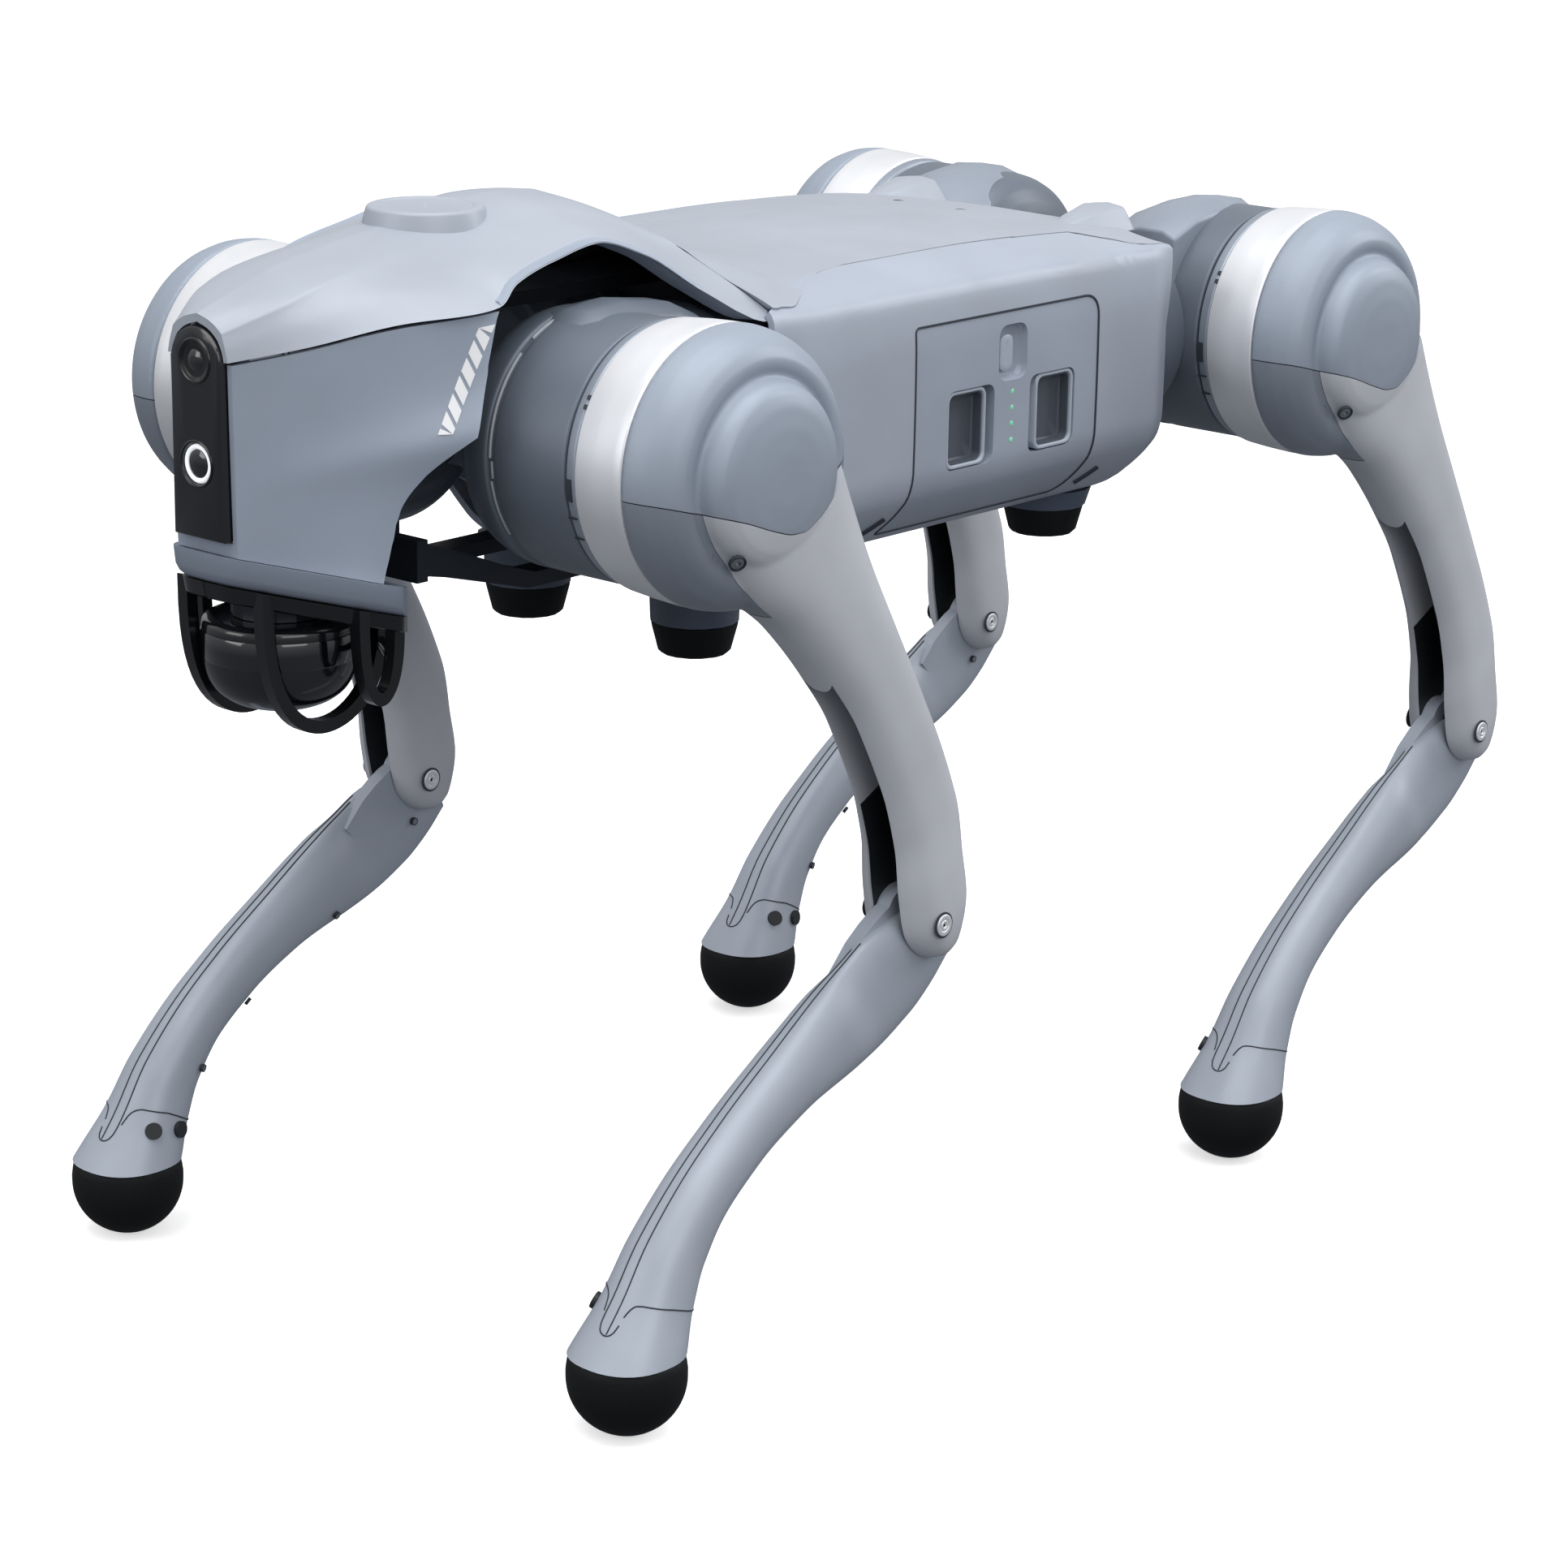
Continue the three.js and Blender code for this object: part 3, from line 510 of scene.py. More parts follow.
def both_sides(half):
    """A full line across the body from half of one: right edge, over the ridge, to the left edge."""
    return [(-y, z) for y, z in reversed(half[1:])] + list(half)


def seam_x(z):
    return SEAM_LOW[0] + (z - SEAM_LOW[1]) * (SEAM_HIGH[0] - SEAM_LOW[0]) / (SEAM_HIGH[1] - SEAM_LOW[1])


@cache
def head_line(x, inset):
    """The whole section of the head cover at one x, from its right edge to its left edge."""
    return both_sides(smooth_path(cover_section(x, inset), 46))


def head_point(share, index, inset):
    """Point of the head cover: share runs from the nose to the slanting seam at the back."""
    x = mix(COVER_FRONT, COVER_REAR, share)
    for _ in range(6):
        y, z = head_line(round(x, 1), inset)[index]
        x = mix(COVER_FRONT, seam_x(z) + SEAM_GAP, share)
    y, z = head_line(round(x, 1), inset)[index]
    return (x, y, z)


def head_cover_mesh():
    stations = [i / 90 for i in range(91)]
    count = len(head_line(200, 0))
    rings = []
    for share in stations:
        outer = [head_point(share, i, 0) for i in range(count)]
        inner = [head_point(share, i, WALL) for i in range(count)]
        rings.append(outer + inner[::-1])
    return mesh_from([loft(rings)])


def add_head_cover():
    hole = loft([[(x, y, z) for y, z in arch_outline(13.9, -26, 39.5)] for x in (300, 345)])
    shell = boolean(head_cover_mesh(), mesh_from([hole]))
    emit("head_cover_skin", shell, "shell", "trunk", ["head_cover"])
    wall = [(23.9, 76.5), (23.2, 79.5), (22.2, 83.2), (21.2, 84), (18.6, 84), (17.8, 83.5), (8, 83.5),
            (0, 83.5)]
    emit("roof_boss", [upright(rounded(wall, 0.6), (219, 0))], "shell", "trunk")


def upright(profile, centre, count=64):
    """Turned piece about the Z axis from (radius, z) pairs."""
    points, faces = turned(profile, count)
    return [(x + centre[0], z + centre[1], y) for x, y, z in points], faces


def arch_outline(half, low, centre):
    steps = [math.pi * i / 24 for i in range(25)]
    arc = [(half * math.cos(t), centre + half * math.sin(t)) for t in steps]
    return arc + [(-half, low), (half, low)]


def add_arch_lips():
    """The inward lip round each front wheel arch."""
    for side in (1, -1):
        rings = []
        for i in range(41):
            x = mix(243, 124, i / 40)
            y = edge_y(x) - 0.4
            z = edge_z(x) + 0.4
            slope = (edge_z(x + 1) - edge_z(x - 1)) / 2
            size = math.hypot(1, slope)
            up = (-slope / size * 1.4, 1 / size * 1.4)
            rings.append([
                (x, side * y, z),
                (x, side * (y - 13), z - 1.2),
                (x + up[0], side * (y - 13), z - 1.2 + up[1]),
                (x + up[0], side * (y - 1), z + up[1]),
            ])
        # The lip takes the darker face paint: painted shade on its underside.
        emit("arch_lip_" + side_label(side), [loft(rings)], "face", "trunk")


SIDE_SECTION = [(97, 18), (97.2, -6), (97, -30), (95, -39), (90, -46), (84, -52), (78, -57), (71, -62),
                (62, -65), (30, -65), (0, -65)]


squeeze = curve([
    (TRUNK_REAR, 0.95), (TRUNK_REAR + 14, 1.0), (TRUNK_FRONT - 18, 1.0), (TRUNK_FRONT, 0.96),
])


def trunk_section(x):
    """Half of the trunk's whole section, from the ridge round to the belly, split at the groove."""
    over = cover_section(x)
    narrow = squeeze(x)
    line = smooth_path(over[:-1] + [(94.2, 41), (96, 32)] + SIDE_SECTION, 360)
    split = max(i for i, (y, z) in enumerate(line) if y <= groove_y(x) and z > 30)
    upper = smooth_path(line[:split + 1], 30)
    lower = smooth_path(line[split:], 70)
    return upper, [(y * mix(1, narrow, min(1, i / 14)), z) for i, (y, z) in enumerate(lower)]


def inset_line(line, amount):
    """The line moved inward, square to its own direction."""
    out = []
    for i, (y, z) in enumerate(line):
        a, b = line[max(i - 1, 0)], line[min(i + 1, len(line) - 1)]
        dy, dz = b[0] - a[0], b[1] - a[1]
        size = math.hypot(dy, dz) or 1.0
        out.append((max(0.0, y + dz / size * amount), z - dy / size * amount))
    return out


def add_back_cover():
    rings = []
    count = 96
    for k in range(count + 1):
        share = k / count
        outer = []
        inner = []
        for inset, ring in ((0.0, outer), (WALL, inner)):
            x = mix(COVER_REAR, TRUNK_REAR, share)
            line = both_sides(inset_line(trunk_section(x)[0], inset))
            for i, (y, z) in enumerate(line):
                start = seam_x(z) - SEAM_GAP
                ring.append((mix(start, TRUNK_REAR, share), y, z))
        rings.append(outer + inner[::-1])
    cover = mesh_from([loft(rings)])
    emit("back_cover_skin", cover, "shell", "trunk", ["back_cover"])
    for side in (1, -1):
        hump = [
            [(x, side * y, z) for y, z in ((66 + w, base), (60 + w, top - 1), (52, top), (44 - w, top - 1),
                                           (36 - w, base))]
            for x, top, base, w in ((-98, 48, 43, -6), (-112, 51.5, 43, -2), (-128, 54.5, 43, 0),
                                    (-137, 54, 43, 0), (-139, 50, 43, -1))
        ]
        emit("rear_hump_" + side_label(side), [loft(hump)], "shell", "trunk", bevel=1.5, sharp=20)


def add_side_shell():
    rings = []
    for k in range(97):
        x = mix(TRUNK_REAR, TRUNK_FRONT, k / 96)
        lower = trunk_section(x)[1]
        start = lower[0]
        lower[0] = (start[0] + 0.5, start[1] - 0.15)
        outer = both_sides(lower[::-1])
        inner = both_sides(inset_line(lower, WALL)[::-1])
        rings.append([(x, y, z) for y, z in outer] + [(x, y, z) for y, z in inner[::-1]])
    shell = boolean(mesh_from([loft(rings)]), mesh_from([battery_block(0.35, (60, 120))]))
    emit("side_shell_skin", shell, "side", "trunk", ["trunk_shell"])
    for side in (1, -1):
        path = []
        for k in range(80):
            x = mix(TRUNK_REAR + 2, TRUNK_FRONT - 3, k / 79)
            y, z = trunk_section(x)[1][0]
            path.append((x, side * (y - 0.4), z - 1.3))
        emit("shoulder_joint_" + side_label(side), [tube(path, 1.1)], "seam", "trunk")


# ---------- Battery ----------
BATTERY_CORNERS = [(-72, -58, 6), (46.5, -58, 3), (46.5, 28, 2.5), (-72, 28, 9)]


def battery_block(grow, depth):
    corners = [
        (x + math.copysign(grow, x), z + math.copysign(grow, z), r) for x, z, r in BATTERY_CORNERS
    ]
    ring = outline(corners)
    return loft([[(x, y, z) for x, z in ring] for y in depth])


CUPS = {
    "front": {"pocket": (-4, 26), "cup": (0.6, 25.6)},
    "rear": {"pocket": (-57, -27), "cup": (-56.6, -31.6)},
}
CUP_Z = (-32.6, -0.2)
PILL = (-15.5, 11, 9.2, 11.5)


def frame_corners(x, z, radius):
    return [(x[0], z[0], radius), (x[1], z[0], radius), (x[1], z[1], radius), (x[0], z[1], radius)]


def on_side(u, v, depth):
    return (u, depth, v)


def battery_mesh():
    """Skin of the pack, with its two finger pockets and the dish round the power key."""
    rings = []
    for k in range(33):
        x = mix(-76, 50, k / 32)
        line = [(y - 0.15, z) for y, z in trunk_section(x)[1] if y > 30]
        back = [(40, z) for _, z in line]
        rings.append([(x, y, z) for y, z in line + back[::-1]])
    count = min(len(r) for r in rings) // 2
    rings = [r[:count] + r[-count:] for r in rings]
    pack = boolean(mesh_from([loft(rings)]), mesh_from([battery_block(-0.35, (50, 110))]), "INTERSECT")
    for cup in CUPS.values():
        pocket = slab(frame_corners(cup["pocket"], CUP_Z, 5), [(0, 87.5), (0, 104)], on_side)
        pack = boolean(pack, mesh_from([pocket]))
    x, z, across, tall = PILL
    dish = [(3.4, 92.6), (1.6, 93.2), (0.4, 94.8), (0, 97), (-0.4, 99)]
    pill = slab(frame_corners((x - across, x + across), (z - tall, z + tall), 6), dish, on_side, 8)
    return boolean(pack, mesh_from([pill]))


def add_battery_gap():
    """Dark line of the gap round the pack, and the slots of the screws beside it."""
    heights = curve([(z, y) for y, z in trunk_section(0)[1] if z > -64 and y > 60])
    edge = outline(BATTERY_CORNERS, 8)
    path = []
    for a, b in zip(edge, edge[1:] + edge[:1]):
        steps = max(1, round(math.dist(a, b) / 2.5))
        for i in range(steps):
            u, v = (mix(p, q, i / steps) for p, q in zip(a, b))
            path.append((u, heights(v) - 0.2, v))
    gap = tube(path + path[:1], 0.6, 6)
    slots = [
        tube([(u - i * 3, heights(i * 3.5 - 55) - 0.7, i * 3.5 - 55) for i in range(3)], 1.8, 10)
        for u in (59, -81)
    ]
    emit("battery_gap", [gap], "seam", "trunk")
    emit("side_screw_slots", slots, "seam", "trunk")


def add_latches():
    for name, cup in CUPS.items():
        low, high = cup["cup"]
        corners = frame_corners((low, high), (CUP_Z[0] + 0.4, CUP_Z[1] - 0.4), 4.5)
        rim = [(0, 88), (0, 96), (0.4, 96.6), (1.1, 96.6), (1.5, 96.1), (1.6, 90.4), (2.4, 90), (8, 90)]
        emit(f"finger_cup_{name}", [slab(corners, rim, on_side)], "cup", f"latch_{name}",
             [f"battery_latch_{name}"])
        hollow = frame_corners((low + 1.7, high - 1.7), (CUP_Z[0] + 2.1, CUP_Z[1] - 2.1), 3.5)
        bowl = slab(hollow, [(0, 90.1), (0, 95.4), (0.5, 95.4), (0.7, 91.6), (1.5, 91), (8, 91)], on_side)
        emit(f"finger_grip_{name}", [bowl], "grip", f"latch_{name}")


def add_power_key():
    """The round key in its dish, and the row of charge lights beside it."""
    x, z = PILL[:2]
    key = [(0.5, 92.4), (0.5, 94.9), (1.4, 95.3), (3.5, 95.0), (5.5, 94.8)]
    corners = frame_corners((x - 2.6, x + 6.6), (z - 8.4, z + 7.4), 4.2)
    emit("power_key", [slab(corners, key, on_side, 8)], "cup", "button", ["power_button"])
    for i, height in enumerate((-5.2, -11.8, -18.4, -25.2)):
        light = turned([(1.1, 95.6), (1.1, 97.05), (0.8, 97.2), (0, 97.25)], 20, (-15.6, height))
        emit(f"charge_light_{i}", [light], "led", "battery")


def add_battery():
    emit("battery_skin", battery_mesh(), "battery", "battery", ["battery_pack"], sharp=28)
    add_battery_gap()
    add_latches()
    add_power_key()


# ---------- Face ----------
FACE_PLAN = [(330.5, 16.4), (309, 32.6), (295, 40.6), (281, 48.6), (244, 63.4)]
FACE_FOOT = [(329, 16.2), (318, 25), (304, 36), (291, 46), (275, 54)]
FACE_LOW = -30
CHIN_SLOPE = 0.26
NOSE_X = 331
CHEEK_REAR = [
    (-47, 289), (-31, 285), (-14, 281), (-2, 273), (5, 265), (8, 261), (9, 256), (28, 251), (60, 243),
]
cheek_rear = curve(CHEEK_REAR)
PRINT_LEVELS = (0.575, 0.955)
FOLD = 5.5
LENS_Z = 40
LAMP_Z = 2.5


def face_point(share, level, inset=0.0):
    """Point of the left cheek: share runs from the nose back, level from the chin up to the cover."""
    plan = smooth_path(FACE_PLAN, 41)
    foot = smooth_path(FACE_FOOT, 41)

    def at(position):
        i = min(int(position * 40), 39)
        f = position * 40 - i
        px, py = (mix(plan[i][k], plan[i + 1][k], f) for k in (0, 1))
        fx, fy = (mix(foot[i][k], foot[i + 1][k], f) for k in (0, 1))
        t = level ** 0.7
        low = FACE_LOW - CHIN_SLOPE * (NOSE_X - fx)
        z = mix(low, edge_z(px) - 1.4, level)
        from_fold = (level - 0.4 - 0.16 * position) / 0.14
        fold = FOLD * position ** 1.5 / (1 + from_fold ** 2)
        return mix(fx, px, t) - inset * 0.7 + fold * 0.5, mix(fy, py, t) - inset * 0.75 + fold, z

    last = 1.0
    while at(last)[0] < cheek_rear(at(last)[2]) and last > 0.3:
        last -= 0.004
    return at(share * last)


def add_face():
    rings = []
    for step in range(37):
        level = step / 36
        outer = [face_point(i / 30, level) for i in range(31)]
        inner = [face_point(i / 30, level, 3.2) for i in range(31)]
        left = outer + inner[::-1]
        right = [(x, -y, z) for x, y, z in outer][::-1]
        right_inner = [(x, -y, z) for x, y, z in inner]
        rings.append(right + outer + inner[::-1] + right_inner)
    shell = mesh_from([loft(rings)])
    slot = mesh_from([block((322, 345), (-14, 14), (-25.4, 70))])
    shell = boolean(shell, slot)
    # The cheeks take the darker face paint: painted shade.
    emit("face_skin", shell, "face", "trunk", ["face_shell"])
    for side in (1, -1):
        add_decal(side)


def add_decal(side):
    """Row of slanted white blocks down the rear of the cheek, cut off level at both ends."""
    parts = []
    for i in range(-1, 7):
        top = 0.975 - i * 0.063
        corners = []
        for offset, rise in ((-0.032, 0), (0.032, -0.065), (0.032, -0.112), (-0.032, -0.047)):
            level = min(PRINT_LEVELS[1], max(PRINT_LEVELS[0], top + rise))
            corners.append((0.957 - (0.94 - level) * 0.27 + offset, level))
        outer, inner = (
            [face_point(share, level, inset) for share, level in corners] for inset in (-0.3, 0.8)
        )
        parts.append(loft([[(x, side * y, z) for x, y, z in ring] for ring in (inner, outer)]))
    emit("cheek_print_" + side_label(side), parts, "decal", "trunk")


def add_sensor_panel():
    levels = [(13.0, -24.6, 39.0, 325.3), (13.3, -24.9, 39.3, 332.4), (12.9, -24.5, 39.3, 333.2),
              (12.2, -23.8, 39.3, 333.5)]
    panel = mesh_from([loft([
        [(x, y, z) for y, z in arch_outline(half, low, centre)] for half, low, centre, x in levels
    ])])
    for height in (LENS_Z, LAMP_Z):
        hole = loft([[(x, y, z + height) for y, _, z in circle(8.2, 0, 48)] for x in (330, 340)])
        panel = boolean(panel, mesh_from([hole]))
    emit("sensor_panel_skin", panel, "panel", "trunk", ["camera_panel"])
    facing = Matrix.Rotation(-math.pi / 2, 4, "Z")
    barrel = [(8.6, 5.6), (8.6, 7.0), (8.0, 7.6), (7.2, 7.4), (6.6, 6.9), (6.2, 6.6)]
    lens = [(6.3, 6.0), (6.3, 6.7), (5, 6.3), (4.6, 6.3), (3.6, 6.9), (2, 7.3), (0, 7.4)]
    bulb = [(7.2, 5.6), (7.2, 6.2), (6.6, 6.7), (5.9, 6.7), (5.3, 6.2), (5.3, 5.6)]
    pupil = [(5.2, 5.8), (5.2, 6.2), (3.4, 6.7), (1.6, 6.95), (0, 7)]
    at_lens, at_lamp = (Matrix.Translation((326.6, 0, z)) @ facing for z in (LENS_Z, LAMP_Z))
    emit("lens_barrel", [turned(rounded(barrel + [(0, 6.5)], 0.25))], "black", "trunk",
         matrix=at_lens)
    emit("lens_front_glass", [turned(rounded(lens, 0.3))], "lens", "trunk",
         ["camera_lens"], at_lens)
    emit("lamp_diffuser", [loft([circle(r, y) for r, y in rounded(bulb, 0.3)], closed=True)],
         "lamp", "trunk", ["head_light"], at_lamp)
    emit("lamp_pupil", [turned(rounded(pupil, 0.3))], "lens", "trunk", (), at_lamp)
    bezel = [(8.9, 6.2), (8.9, 7.2), (8.2, 7.5), (7.6, 7.1), (7.5, 6.2)]
    emit("lamp_bezel", [loft([circle(r, y) for r, y in rounded(bezel, 0.2)], closed=True)],
         "black", "trunk", matrix=at_lamp)


# ---------- Chin, guard, scanner and belly ----------
CHIN_PLAN = [(334, 0), (333, 12), (322, 26.5), (307, 39), (292, 49.5), (284, 53), (279, 50)]
CHIN_TOP = -30.3
CHIN_LOW = -41
HOOPS = [(20.7, 324, 262, -101), (43, 297.5, 275, -88)]
SCAN_X = 295
SCAN_TOP = -59


def chin_drop(x, z):
    return z - CHIN_SLOPE * (NOSE_X - x)


def plan_ring(z, inset):
    half = smooth_path(CHIN_PLAN, 40)
    left = [(x - inset, max(0.0, y - inset * 0.9)) for x, y in half]
    whole = [(x, -y) for x, y in reversed(left[1:])] + left
    return [(x, y, chin_drop(x, z)) for x, y in whole]


def band(levels):
    return loft([plan_ring(z, inset) for z, inset in levels], closed=True)


def add_chin():
    levels = [(CHIN_TOP, 0.1), (CHIN_LOW + 4, 0.6), (CHIN_LOW + 1.6, 1.6), (CHIN_LOW + 0.4, 3.0),
              (CHIN_LOW, 4.6), (CHIN_LOW, 7.5), (CHIN_TOP, 6.5)]
    # The chin ring takes the dark chin paint: painted shade under the head.
    emit("chin_skin", [band(levels)], "chin", "trunk", ["chin_ring"], sharp=40)
    top = CHIN_LOW - 0.3
    parts = [band([(top, 2.4), (top - 5.4, 3.0), (top - 6, 3.8), (top - 6, 8.4), (top, 8.4)])]
    for y, front, back, low in HOOPS:
        for side in (1, -1):
            parts.append(hoop(side * y, front, back, low))
    for side in (1, -1):
        parts.append(tube([(263, side * 20, -72), (279, side * 43, -72)], 2.6, 12))
    parts.append(tube([(261.5, -21, -72), (261.5, 21, -72)], 2.6, 12))
    emit("guard_skin", parts, "black", "trunk", ["lidar_guard"], bevel=0.7)


def hoop(y, front, back, low):
    """Flat hoop of the guard hanging from the chin."""
    half = (front - back) / 2
    middle = (front + back) / 2
    steps = 30

    def arc(inset):
        out = []
        for i in range(steps + 1):
            t = math.pi * i / steps
            x = middle + (half - inset) * math.cos(t)
            top = chin_drop(x, CHIN_LOW - 0.3)
            out.append((x, top - (top - low - inset) * math.sin(t) ** 0.7))
        return out

    ring = arc(0) + arc(5)[::-1]
    return loft([[(x, w, z) for x, z in ring] for w in (y - 2.6, y + 2.6)])


def add_scanner():
    dome = [(0, 0), (26, 0), (28.4, -1.2), (29, -3), (29, -17.5), (27.6, -23), (24.5, -28.2),
            (19.6, -32), (13.5, -34.4), (6, -35.8), (0, -36)]
    points, faces = upright([(r, z + SCAN_TOP) for r, z in rounded(dome, 2.5, 4)], (SCAN_X, 0))
    emit("scanner_dome", [(points, faces)], "panel", "lidar_rotor",
         ["lidar_rotor"])
    window = loft([
        [(x, z, y) for x, y, z in circle(r, z0, 64)] for r, z0 in
        ((29.1, SCAN_TOP - 5), (29.3, SCAN_TOP - 5.4), (29.3, SCAN_TOP - 15), (29.1, SCAN_TOP - 15.4),
         (28.6, SCAN_TOP - 15), (28.6, SCAN_TOP - 5.4))
    ], closed=True)
    emit("scanner_window", [moved(window, Matrix.Translation((SCAN_X, 0, 0)))], "lens",
         "lidar_rotor")


PADS = {
    "front_left": (118, 46, -98.5), "front_right": (118, -46, -98.5),
    "rear_left": (-105, 46, -86), "rear_right": (-105, -46, -86),
}


def octagon(radius, z, corner=0.22):
    """Ring of an eight-sided section with softened corners."""
    ring = []
    for i in range(8):
        a, b = (math.pi / 4 * (i + s) + math.pi / 8 for s in (-0.5, 0.5))
        for t in (a + (b - a) * corner, b - (b - a) * corner):
            near = math.cos(math.pi / 8) / math.cos((t - math.pi / 8) % (math.pi / 4) - math.pi / 8)
            ring.append((radius * near * math.cos(t), radius * near * math.sin(t), z))
    return ring


def add_pads():
    for name, (x, y, tip) in PADS.items():
        where = Matrix.Translation((x, y, 0))
        top = -65.3
        upper = [(22, top), (21.6, top - 1.2), (19.4, top - 8), (18.9, tip + 13.4)]
        lower = [(18.6, tip + 13), (18.5, tip + 12), (15.6, tip + 1.6), (14.2, tip + 0.3), (12.5, tip)]
        emit(f"belly_pad_body_{name}", [loft([octagon(r, z) for r, z in upper])], "pad",
             "trunk", [f"belly_pad_{name}"], where)
        emit(f"belly_pad_tip_{name}", [loft([octagon(r, z) for r, z in lower])], "rubber",
             "trunk", (), where)


# ---------- Screws ----------
def add_screw(name, point, normal, radius, body, matrix=IDENTITY):
    """Countersunk hexagon screw: dark ring and a steel head with a socket in it."""
    turn = Vector((0, 1, 0)).rotation_difference(Vector(normal)).to_matrix().to_4x4()
    where = matrix @ Matrix.Translation(point) @ turn
    rim = [(radius, -1.2), (radius, 0.25), (radius * 0.86, 0.3), (radius * 0.8, -0.2),
           (radius * 0.8, -1.2)]
    emit(f"{name}_rim", [loft([circle(r, y, 28) for r, y in rim], closed=True)], "seam", body,
         (), where)
    head = [(radius * 0.78, -1.2), (radius * 0.78, -0.1), (radius * 0.6, 0.15), (radius * 0.36, 0.15),
            (radius * 0.36, -0.9), (0, -1.0)]
    emit(f"{name}_head", [turned(head, 24)], "steel", body, (), where)


# ---------- Legs, shaped for the front left and mirrored ----------
HEAD_PROFILE = [
    (0, -16), (53, -16), (52.9, -12), (52, -6), (49.6, 0), (46.4, 4), (42.8, 6.2), (39.4, 6.4), (37, 5.2),
    (35.6, 5.2), (34.8, 7.4), (33.8, 11), (31.4, 13.8), (27, 15.6), (19, 16.9), (10, 17.5), (0, 17.6),
]
CAP_LINE = [(-62, -19), (-46, -19.5), (-31, -21), (-26.5, -21.8), (-15, -23.7), (-3.4, -24.2), (5, -20.8),
            (14, -13), (24, -2.5), (31, 4), (39, 11), (46, 17), (53, 21.5), (62, 25)]
THIGH_SECTIONS = [
    (8, 36, -38, 15.5), (38, 27, -36, 15.5), (62, 15, -35, 15.5), (94, 5, -36.5, 15), (120, 0, -38, 14.6),
    (150, -1, -39, 15), (175, 2, -37.5, 16), (198, 9, -30, 17.8), (213, 12, -25, 18.4), (226, 8, -14, 17),
    (231, 2, -8, 13),
]
CALF_SECTIONS = [
    (-14.5, -3, 0, 16.5, 6.6), (-11.5, 11, -2, 20.5, 6.8), (-7.5, 26, -4, 23, 6.8),
    (-4, 40, -6, 22.5, 7.4), (2.5, 58, -12, 20, 11), (12.5, 90, -14, 15, 12), (18.5, 120, -10, 13, 12.4),
    (20.5, 145, 2, 12.5, 13.2), (18, 168, 18, 14, 14.6), (12.5, 186, 34, 16, 16.6),
    (6.6, 207.1, 48, 21.4, 21.4),
]
CALF_TOP = [(-12, 0), (7, 0), (10.5, -2.5), (12.5, -8), (14.2, -16), (15.2, -26), (14, -40), (-12, -40)]
CALF_SEAMS = [
    [(30, -9), (120, -9), (192, -10), (195.5, -7), (197, 1), (196, 8), (193, 11.5)],
    [(26, 2), (120, 4), (172, 4), (196.5, 2)],
    [(190.5, 13), (188, 17), (186.4, 24), (186, 38), (186, 74), (187, 105), (188, 135), (188, 170)],
    [(190.5, -14), (187, -18), (185, -25), (184, -38), (184, -74), (186, -105), (188, -135), (188, -170)],
]
CALF_SCREWS = [(14, -100), (68, -126), (124, -138), (163, -112)]
CALF_HOLES = [(191, -64), (191, -104)]
CHANNEL = 7.3
SKIRT_EDGE = 6.6


def super_ring(count, power, place):
    ring = []
    for i in range(count):
        t = 2 * math.pi * (i + 0.5) / count
        u = math.copysign(abs(math.cos(t)) ** power, math.cos(t))
        v = math.copysign(abs(math.sin(t)) ** power, math.sin(t))
        ring.append(place(u, v))
    return ring


def smooth_table(rows, key, steps):
    """The rows of a table, filled in smoothly against one of its columns."""
    low, high = rows[0][key], rows[-1][key]
    columns = [curve([(row[key], row[c]) for row in rows]) for c in range(len(rows[0]))]
    stations = [mix(low, high, i / steps) for i in range(steps + 1)]
    return [[column(s) for column in columns] for s in stations]


def pin_along_y(radius, low, high, centre=(0, 0), count=64):
    return loft([circle(radius, y, count, centre) for y in (low, high)])


def cap_prism(above, gap):
    line = [(x, curve(CAP_LINE)(x) + gap) for x in [mix(-62, 62, i / 80) for i in range(81)]]
    far = 90 if above else -320
    ring = line + [(80, line[-1][1]), (80, far), (-80, far), (-80, line[0][1])]
    return mesh_from([loft([[(x, y, z) for x, z in ring] for y in (-45, 45)])])


def thigh_slot():
    head = pin_along_y(23.5, -CHANNEL, CHANNEL)
    knee = pin_along_y(22.6, -CHANNEL, CHANNEL, (0, -LINK))
    run = block((-23, 4), (-CHANNEL, CHANNEL), (-LINK, 0))
    mouth = block((-20, 60), (-CHANNEL, CHANNEL), (-260, -153))
    tool = mesh_from([head])
    for part in (knee, run, mouth):
        tool = boolean(tool, mesh_from([part]), "UNION")
    return tool


def thigh_meshes():
    """Cap and shell of the thigh, cut from one blended form, with the skirt split off the shell to carry
    painted shade.
    """
    turned_head = turned(rounded(HEAD_PROFILE, 1.2), 96)
    beam = loft([
        super_ring(44, 0.72, lambda u, v, d=down, f=front, r=rear, h=half:
                   ((f + r) / 2 + (f - r) / 2 * u, v * h, -d))
        for down, front, rear, half in smooth_table(THIGH_SECTIONS, 0, 60)
    ])
    cap = boolean(remeshed(mesh_from([turned_head]), 1.0, 2), cap_prism(True, 0.25), "INTERSECT")
    lower_head = boolean(mesh_from([turned_head]), cap_prism(False, 12), "INTERSECT")
    joined = boolean(lower_head, mesh_from([beam]), "UNION")
    skin = boolean(remeshed(joined, 1.1, 3), cap_prism(False, -0.25), "INTERSECT")
    shell = boolean(skin, thigh_slot())
    # The skirt is the inner part of the thigh head, split off to take a darker finish: painted shade.
    skirt = boolean(shell, mesh_from([pin_along_y(53.4, -20, SKIRT_EDGE - 0.15)]), "INTERSECT")
    shell = boolean(shell, mesh_from([pin_along_y(53.8, -20, SKIRT_EDGE + 0.15)]))
    return cap, shell, skirt


